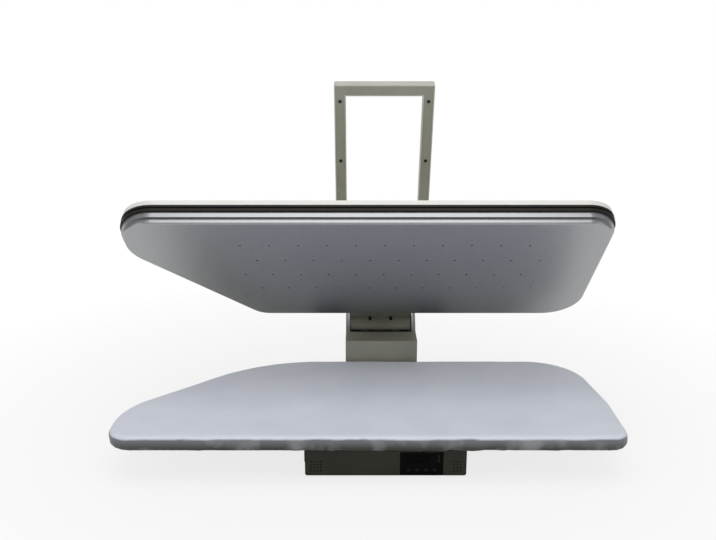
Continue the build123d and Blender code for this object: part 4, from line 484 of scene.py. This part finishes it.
def even_outline(corners, radii, count):
    """Points at even steps round the rounded outline, and how long it is."""
    points = [Vector(c) for c in corners]
    walk = []
    for i, corner in enumerate(points):
        walk += rounded_corner(points[i - 1], corner, points[(i + 1) % len(points)], radii[i])
    walk.append(walk[0])
    lengths = [(b - a).length for a, b in zip(walk, walk[1:])]
    total = sum(lengths)
    result, leg, passed = [], 0, 0.0
    for n in range(count):
        target = total * n / count
        while passed + lengths[leg] < target:
            passed += lengths[leg]
            leg += 1
        share = (target - passed) / lengths[leg] if lengths[leg] > 0 else 0
        result.append(walk[leg].lerp(walk[leg + 1], share))
    return result, total


round_steps = 960  # a step is about 2.6 mm
outline, outline_length = even_outline(board_corners, board_radii, round_steps)
outward = []
for i in range(round_steps):
    along = outline[(i + 1) % round_steps] - outline[i - 1]
    outward.append(Vector((-along.y, along.x)).normalized())
spine_left, spine_right = Vector((-0.26, -0.165)), Vector((0.36, -0.105))
spine_reach = 0.96  # the last ring stops just short of the spine
print("outline length", round(outline_length, 3), "m in", round_steps, "steps")

# %% [markdown]
# ## Rings of cloth
# A sheet that wraps the board is built as rings: each ring is the outline moved in by some distance, at
# some height. Towards the middle the rings close in on a line, the spine, and one long face fills the last
# of them, so that the grid stays even with no pole.

# %% Ring builder


def nearest_on_spine(point):
    """The point of the spine nearest to a point of the outline."""
    run = spine_right - spine_left
    share = max(0.0, min(1.0, (point - spine_left).dot(run) / run.length_squared))
    return spine_left + run * share


def join_rings(outer, inner):
    """Faces between two rings of vertex numbers; the inner ring has as many points or half as many."""
    if len(outer) == len(inner):
        return [(outer[i - 1], outer[i], inner[i], inner[i - 1]) for i in range(len(outer))]
    return [(outer[2 * i - 2], outer[2 * i - 1], outer[2 * i], inner[i], inner[i - 1])
            for i in range(len(inner))]


def ring_mesh(name, profile, inner_rings, middle_height, shape):
    """Rings along a profile of (inset, height) pairs, then ever coarser rings towards the spine.

    shape moves each point. It is given the point, its height, the way out, the step round the outline, the
    ring, and the share of the way to the spine.
    """
    vertices, faces, before = [], [], None
    last_height = profile[-1][1]
    for k in range(len(profile) + inner_rings):
        share = max(0, k - len(profile) + 1) / inner_rings
        inset, height = profile[min(k, len(profile) - 1)]
        height += (middle_height - last_height) * (1 - (1 - share) ** 2)
        stride = 1 if share < 0.15 else 2 if share < 0.45 else 4
        ring = range(len(vertices), len(vertices) + round_steps // stride)
        for i in range(0, round_steps, stride):
            point = (outline[i] - outward[i] * inset).lerp(nearest_on_spine(outline[i]), share * spine_reach)
            vertices.append(shape(point, height, outward[i], i, k, share))
        if before:
            faces += join_rings(before, ring)
        before = ring
    faces.append(tuple(before))
    mesh = bpy.data.meshes.new(name)
    mesh.from_pydata(vertices, [], faces)
    piece = bpy.data.objects.new(name, mesh)
    bpy.context.collection.objects.link(piece)
    return piece


def tidy_piece(piece, merge=0.0002):
    """Merge doubles and turn all faces outwards."""
    bpy.ops.object.select_all(action="DESELECT")
    piece.select_set(True)
    bpy.context.view_layer.objects.active = piece
    bpy.ops.object.mode_set(mode="EDIT")
    bpy.ops.mesh.select_all(action="SELECT")
    bpy.ops.mesh.remove_doubles(threshold=merge)
    bpy.ops.mesh.dissolve_degenerate(threshold=0.00005)
    bpy.ops.mesh.normals_make_consistent(inside=False)
    bpy.ops.object.mode_set(mode="OBJECT")
    bpy.ops.object.shade_smooth()
    print(piece.name, "has", len(piece.data.polygons), "faces")


# %% [markdown]
# ## The foam pad
# Under the cloth lies a foam pad about 15 mm thick with a rounded top edge. Foam that has been pressed for
# years is crowned a little in the middle and has shallow hollows, so its top is moved by a slow noise. Its
# profile starts underneath, 60 mm in from the edge, and the hole in the middle is filled with one face.

# %% Foam pad
pad_low, pad_high = 0.0861, 0.1013
pad_inset, pad_round = 0.0028, 0.010
pad_crown = 0.0009  # how much higher the middle is than the edge
pad_profile = [(0.060, pad_low), (0.030, pad_low), (0.006, pad_low), (0.0030, pad_low + 0.002)]
pad_profile += [(pad_inset, 0.090)]
pad_profile += [(pad_inset + pad_round * (1 - math.cos(math.radians(a))),
                 pad_high - pad_round + pad_round * math.sin(math.radians(a)))
                for a in (0, 18, 36, 54, 72, 90)]
pad_profile += [(0.020, 0.1014), (0.032, 0.1015)]
pad_top_ring = 10  # the first ring of the profile that lies on the pad's top
hollow_depth = 0.0004


def pad_shape(point, height, side, i, k, share):
    """Shallow hollows on the pad's top; its underside stays flat."""
    if k >= pad_top_ring:
        height += hollow_depth * noise.noise(Vector((point.x * 14, point.y * 14, 3.0)))
    return (point.x, point.y, height)


foam_pad = ring_mesh("foam_pad", pad_profile, 26, pad_high + pad_crown, pad_shape)

# %% Close the pad's underside
bpy.ops.object.select_all(action="DESELECT")
foam_pad.select_set(True)
bpy.context.view_layer.objects.active = foam_pad
bpy.ops.object.mode_set(mode="EDIT")
bpy.ops.mesh.select_mode(type="EDGE")
bpy.ops.mesh.select_all(action="DESELECT")
bpy.ops.object.mode_set(mode="OBJECT")
for edge in foam_pad.data.edges:
    a, b = edge.vertices
    edge.select = a < round_steps and b < round_steps
bpy.ops.object.mode_set(mode="EDIT")
bpy.ops.mesh.edge_face_add()
bpy.ops.object.mode_set(mode="OBJECT")
tidy_piece(foam_pad)
foam_pad.data.materials.append(foam)
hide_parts("board_foam")
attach(foam_pad, "stand")
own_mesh(foam_pad)

# %% [markdown]
# ## The silver cover
# The cover is one sheet pulled over the pad and drawn in under the tray by an elastic hem. On the top it is
# tight. Where it turns under there is too much cloth, so it falls into small gathers that are deepest at the
# hem and at the corners, and a few folds run up onto the front edge. Its profile starts at the hem, runs out
# under the board, round its lower edge, up its side, round its upper edge and onto its top.

# %% Cover profile
cover_bottom, cover_top = 0.0747, 0.1040
cover_crown = 0.0014  # how much higher the middle is than the edge
lower_round, upper_round = 0.0065, 0.0115
cloth_thickness = 0.0006
cover_profile = [(0.0345, cover_bottom - 0.0006), (0.0300, cover_bottom - 0.0002), (0.0240, cover_bottom),
                 (0.0170, cover_bottom), (0.0110, cover_bottom)]
for a in (0, 15, 30, 45, 60, 75, 90):
    cover_profile.append((0.0008 + lower_round * (1 - math.sin(math.radians(a))),
                          cover_bottom + lower_round * (1 - math.cos(math.radians(a)))))
cover_profile += [(0.0004, 0.0830), (0.0003, 0.0850), (0.0003, 0.0870), (0.0003, 0.0890), (0.0005, 0.0908)]
for a in (0, 12, 24, 36, 48, 60, 75, 90):
    cover_profile.append((0.0007 + upper_round * (1 - math.cos(math.radians(a))),
                          cover_top - upper_round + upper_round * math.sin(math.radians(a))))
cover_profile += [(0.0160, cover_top + 0.0001), (0.0210, cover_top + 0.0002), (0.0270, cover_top + 0.0003)]
print("rings in the profile:", len(cover_profile))

# %% Folds
# Each fold at the front has its place along the edge, its width and its depth, in metres.
front_folds = [(-0.128, 0.022, 0.0016), (-0.062, 0.015, 0.0022), (0.030, 0.020, 0.0026),
               (0.104, 0.013, 0.0020), (0.150, 0.016, 0.0024), (0.206, 0.034, 0.0036),
               (0.262, 0.013, 0.0018), (-0.315, 0.024, 0.0012), (0.364, 0.022, 0.0014)]
front_band = -0.24  # the folds lie in front of this line
fold_ring, fold_lean = 10, 0.0016  # the ring where a fold is deepest, and how far it leans from ring to ring
side_ring, top_ring = 11, 24  # the rings of the profile where the side and the top begin
gather_rings = 18  # the gathers fade out over this many rings
gather_pitch = 0.0165  # metres from one gather to the next
straight_gather, corner_gather = 0.0006, 0.0013  # depth on a straight edge, and what a corner adds
crease_depth, bulge_depth = 0.0007, 0.0009  # short and long unevenness of the side
wave_depth = 0.0005  # unevenness of the top
most_in = 0.0014  # further in, the foam would come through
most_out, most_out_at_ends = 0.0036, 0.0003  # folds stand out at the front and rear, hardly at the ends


def bend_of_outline(i):
    """How strongly the outline turns near a step: 0 on a straight edge, 1 on the tightest corner."""
    before, after = outward[i - 5], outward[(i + 5) % round_steps]
    tightest = 0.75  # radians over ten steps
    return min(1.0, before.angle(after) / tightest)


def front_fold(x, k):
    """How far the folds at the front push the cloth out: each is a ridge with a hollow beside it."""
    out = 0.0
    for place_x, width, size in front_folds:
        slant = (k - side_ring) * fold_lean
        reach = math.exp(-((k - fold_ring) / 6.5) ** 2)
        near = math.exp(-((x - place_x - slant) / (width * 0.5)) ** 2)
        beside = math.exp(-((x - place_x - slant - width * 0.9) / (width * 0.6)) ** 2)
        out += size * reach * (near - 0.7 * beside)
    return out


def cover_shape(point, height, side, i, k, share):
    """Gathers under the edge, folds at the front, and slow waves on top."""
    along = outline_length * i / round_steps
    wobble = noise.noise(Vector((along * 9.0, 1.7, 0.0)))
    patch = 0.55 + 0.45 * noise.noise(Vector((along * 17.0, 8.1, 0.0)))
    phase = 2 * math.pi * along / gather_pitch + 3.0 * wobble
    depth = max(0.0, 1 - k / gather_rings) ** 1.3
    gather = depth * patch * (straight_gather + corner_gather * bend_of_outline(i)) * math.sin(phase)
    out = gather
    down = -0.9 * abs(gather) * depth
    if k < top_ring:
        side_share = math.exp(-((k - side_ring) / 5.0) ** 2)
        out += side_share * crease_depth * noise.noise(Vector((along * 24.0, k * 0.22, 5.0)))
        out += side_share * bulge_depth * noise.noise(Vector((along * 7.0, k * 0.10, 9.0)))
    if point.y < front_band:
        out += front_fold(point.x, k)
    if k >= top_ring - 4:
        rim = math.exp(-((k - top_ring) / 5.0) ** 2)
        height += wave_depth * rim * noise.noise(Vector((point.x * 28, point.y * 28, 0.5)))
        height += wave_depth * noise.noise(Vector((point.x * 9, point.y * 11, 2.5)))
    limit = most_out_at_ends if out > 0 and abs(side.x) > 0.9 else most_out
    out = max(-most_in, min(out, limit))
    return (point.x + side.x * out, point.y + side.y * out, height + down)


# %% Cover piece
silver_cover = ring_mesh("silver_cover", cover_profile, 34, cover_top + cover_crown, cover_shape)
tidy_piece(silver_cover)
solidify = silver_cover.modifiers.new("cloth_thickness", "SOLIDIFY")
solidify.thickness = cloth_thickness
solidify.offset = -1
bpy.context.view_layer.objects.active = silver_cover
bpy.ops.object.modifier_apply(modifier=solidify.name)
silver_cover.data.materials.append(silver_cloth)
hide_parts("board_cover")
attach(silver_cover, "stand")
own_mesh(silver_cover)

# %% [markdown]
# ## The elastic hem
# The cover's edge is turned over an elastic cord. It shows only from below, as a rope of small puckers: a
# tube along the hem whose thickness swells and shrinks as the cloth bunches up on the cord.

# %% Elastic hem
hem_sides = 8
hem_inset, hem_radius = 0.0355, 0.00105
pucker_depth, pucker_pitch = 0.00035, 0.0082
hem_vertices, hem_faces = [], []
for i in range(round_steps):
    along = outline_length * i / round_steps
    shift = 2.0 * noise.noise(Vector((along * 15, 0, 4)))
    pucker = hem_radius + pucker_depth * math.sin(2 * math.pi * along / pucker_pitch + shift)
    centre = outline[i] - outward[i] * hem_inset
    for n in range(hem_sides):
        a = 2 * math.pi * n / hem_sides
        hem_vertices.append((centre.x + outward[i].x * pucker * math.cos(a),
                             centre.y + outward[i].y * pucker * math.cos(a),
                             cover_bottom - 0.0002 + pucker * math.sin(a)))
    for n in range(hem_sides):
        j, m = (i + 1) % round_steps, (n + 1) % hem_sides
        hem_faces.append((i * hem_sides + n, j * hem_sides + n, j * hem_sides + m, i * hem_sides + m))
hem_mesh = bpy.data.meshes.new("elastic_hem")
hem_mesh.from_pydata(hem_vertices, [], hem_faces)
elastic_hem = bpy.data.objects.new("elastic_hem", hem_mesh)
bpy.context.collection.objects.link(elastic_hem)
tidy_piece(elastic_hem, 0.00001)
elastic_hem.data.materials.append(silver_cloth)
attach(elastic_hem, "stand")

# %% [markdown]
# ## Felt and blanket
# Two more soft layers are out of sight: the felt in the tray and the fibre blanket in the head. Each starts
# as a copy of its node, so the fit is right, and is then given an even skin of small faces and a soft, uneven
# surface.

# %% Soft copies


def soft_copy(node_name, name, voxel, depth, scale):
    """Copy a node, give it even faces, soften it and roughen its surface."""
    copy = nodes[node_name].copy()
    copy.data = nodes[node_name].data.copy()
    copy.name = copy.data.name = name
    copy.parent = None
    copy.hide_render = copy.hide_viewport = False
    bpy.context.collection.objects.link(copy)
    tidy_piece(copy, 0.00005)
    remesh = copy.modifiers.new("even_faces", "REMESH")
    remesh.mode = "VOXEL"
    remesh.voxel_size = voxel
    bpy.ops.object.modifier_apply(modifier=remesh.name)
    moved = [vertex.co - vertex.normal * depth * (1 + noise.noise(vertex.co * scale))
             for vertex in copy.data.vertices]
    copy.data.vertices.foreach_set("co", [value for point in moved for value in point])
    copy.data.update()
    bpy.ops.object.shade_smooth()
    copy.data.materials.clear()
    return copy


felt_layer = soft_copy("board_felt", "felt_layer", 0.004, 0.0003, 60.0)
felt_layer.data.materials.append(felt)
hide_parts("board_felt")
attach(felt_layer, "stand")

fibre_blanket = soft_copy("insulation_blanket", "fibre_blanket", 0.005, 0.0006, 45.0)
fibre_blanket.data.materials.append(fibre)
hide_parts("insulation_blanket")
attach(fibre_blanket, "head")
print("felt", len(felt_layer.data.polygons), "faces, blanket", len(fibre_blanket.data.polygons), "faces")

# %% [markdown]
# ## Floor and background
# The photograph's background is pure white. The floor is pale paint for the light that falls on the press.
# What the camera and clear parts see of it is lifted to white, but only in part near the press, so that its
# shadow stays. What glossy parts mirror is lifted only away from the press: right under the plate the floor
# lies in its shade.

# %% Floor
shadow_from, shadow_to = 0.5, 1.2  # metres from the middle between which the floor turns fully white
white_at_press = 0.80  # how much of it is lifted to white nearer than that
shade_from, shade_to = 0.40, 0.56  # between which its mirror image turns from shade to white
bpy.ops.mesh.primitive_plane_add(size=40, location=(0, 0, 0))
floor = bpy.context.active_object
floor.name = "studio_floor"
floor_paint = bpy.data.materials.new("studio_floor_pale")
floor_paint.use_nodes = True
tree = floor_paint.node_tree
tree.nodes.clear()
place = add_node(tree, "ShaderNodeTexCoord").outputs["Object"]
distance = add_node(tree, "ShaderNodeVectorMath", {"operation": "LENGTH"}, {0: place})
seen_white = add_node(tree, "ShaderNodeMapRange", {},
                      {"Value": distance.outputs["Value"], "From Min": shadow_from, "From Max": shadow_to,
                       "To Min": white_at_press, "To Max": 1.0})
mirror_white = add_node(tree, "ShaderNodeMapRange", {},
                        {"Value": distance.outputs["Value"], "From Min": shade_from, "From Max": shade_to})
rays = add_node(tree, "ShaderNodeLightPath")
clear = add_node(tree, "ShaderNodeMath", {"operation": "MAXIMUM"},
                 {0: rays.outputs["Is Camera Ray"], 1: rays.outputs["Is Transmission Ray"]})
seen = add_node(tree, "ShaderNodeMath", {"operation": "MULTIPLY"},
                {0: clear.outputs["Value"], 1: seen_white.outputs["Result"]})
mirrored = add_node(tree, "ShaderNodeMath", {"operation": "MULTIPLY"},
                    {0: rays.outputs["Is Glossy Ray"], 1: mirror_white.outputs["Result"]})
lifted = add_node(tree, "ShaderNodeMath", {"operation": "MAXIMUM"},
                  {0: seen.outputs["Value"], 1: mirrored.outputs["Value"]})
paint = add_node(tree, "ShaderNodeBsdfDiffuse", {}, {"Color": linear("#E6E6E4")})
white = add_node(tree, "ShaderNodeEmission", {}, {"Color": (1, 1, 1, 1), "Strength": 1.0})
mixed = add_node(tree, "ShaderNodeMixShader", {},
                 {0: lifted.outputs["Value"], 1: paint.outputs["BSDF"], 2: white.outputs["Emission"]})
add_node(tree, "ShaderNodeOutputMaterial", {}, {"Surface": mixed.outputs["Shader"]})
floor.data.materials.append(floor_paint)

# %% World
sky_light = 0.37  # strength of the light that the world sheds; the camera sees it at 1, as white
world = bpy.data.worlds.new("studio_world")
bpy.context.scene.world = world
world.use_nodes = True
tree = world.node_tree
tree.nodes.clear()
rays = add_node(tree, "ShaderNodeLightPath")
seen = add_node(tree, "ShaderNodeMath", {"operation": "MAXIMUM"},
                {0: rays.outputs["Is Camera Ray"], 1: rays.outputs["Is Transmission Ray"]})
strength = add_node(tree, "ShaderNodeMapRange", {}, {"Value": seen.outputs["Value"], "To Min": sky_light})
sky = add_node(tree, "ShaderNodeBackground", {},
               {"Color": (1, 1, 1, 1), "Strength": strength.outputs["Result"]})
add_node(tree, "ShaderNodeOutputWorld", {}, {"Surface": sky.outputs["Background"]})
print("floor and world made")

# %% [markdown]
# ## Light
# One large softbox stands above and in front, a weaker one at each side. They are large, so shadows are soft,
# and they are in front, so the head shades the rear of the board as it does in the photograph.

# %% Lamps


def softbox(name, place_at, aim, size, power):
    """A square area lamp that looks at a point; size in metres, power in watts."""
    data = bpy.data.lights.new(name, "AREA")
    data.shape = "SQUARE"
    data.size = size
    data.energy = power
    lamp = bpy.data.objects.new(name, data)
    bpy.context.collection.objects.link(lamp)
    lamp.location = place_at
    lamp.rotation_euler = (Vector(aim) - Vector(place_at)).to_track_quat("-Z", "Y").to_euler()


softbox("softbox_top", (0.0, -1.00, 2.6), (0, -0.20, 0.2), 2.2, 31)
softbox("softbox_left", (-2.4, -1.0, 1.6), (0, 0, 0.2), 1.4, 8)
softbox("softbox_right", (2.4, -1.0, 1.6), (0, 0, 0.2), 1.4, 8)
bpy.context.scene.view_settings.view_transform = "Standard"
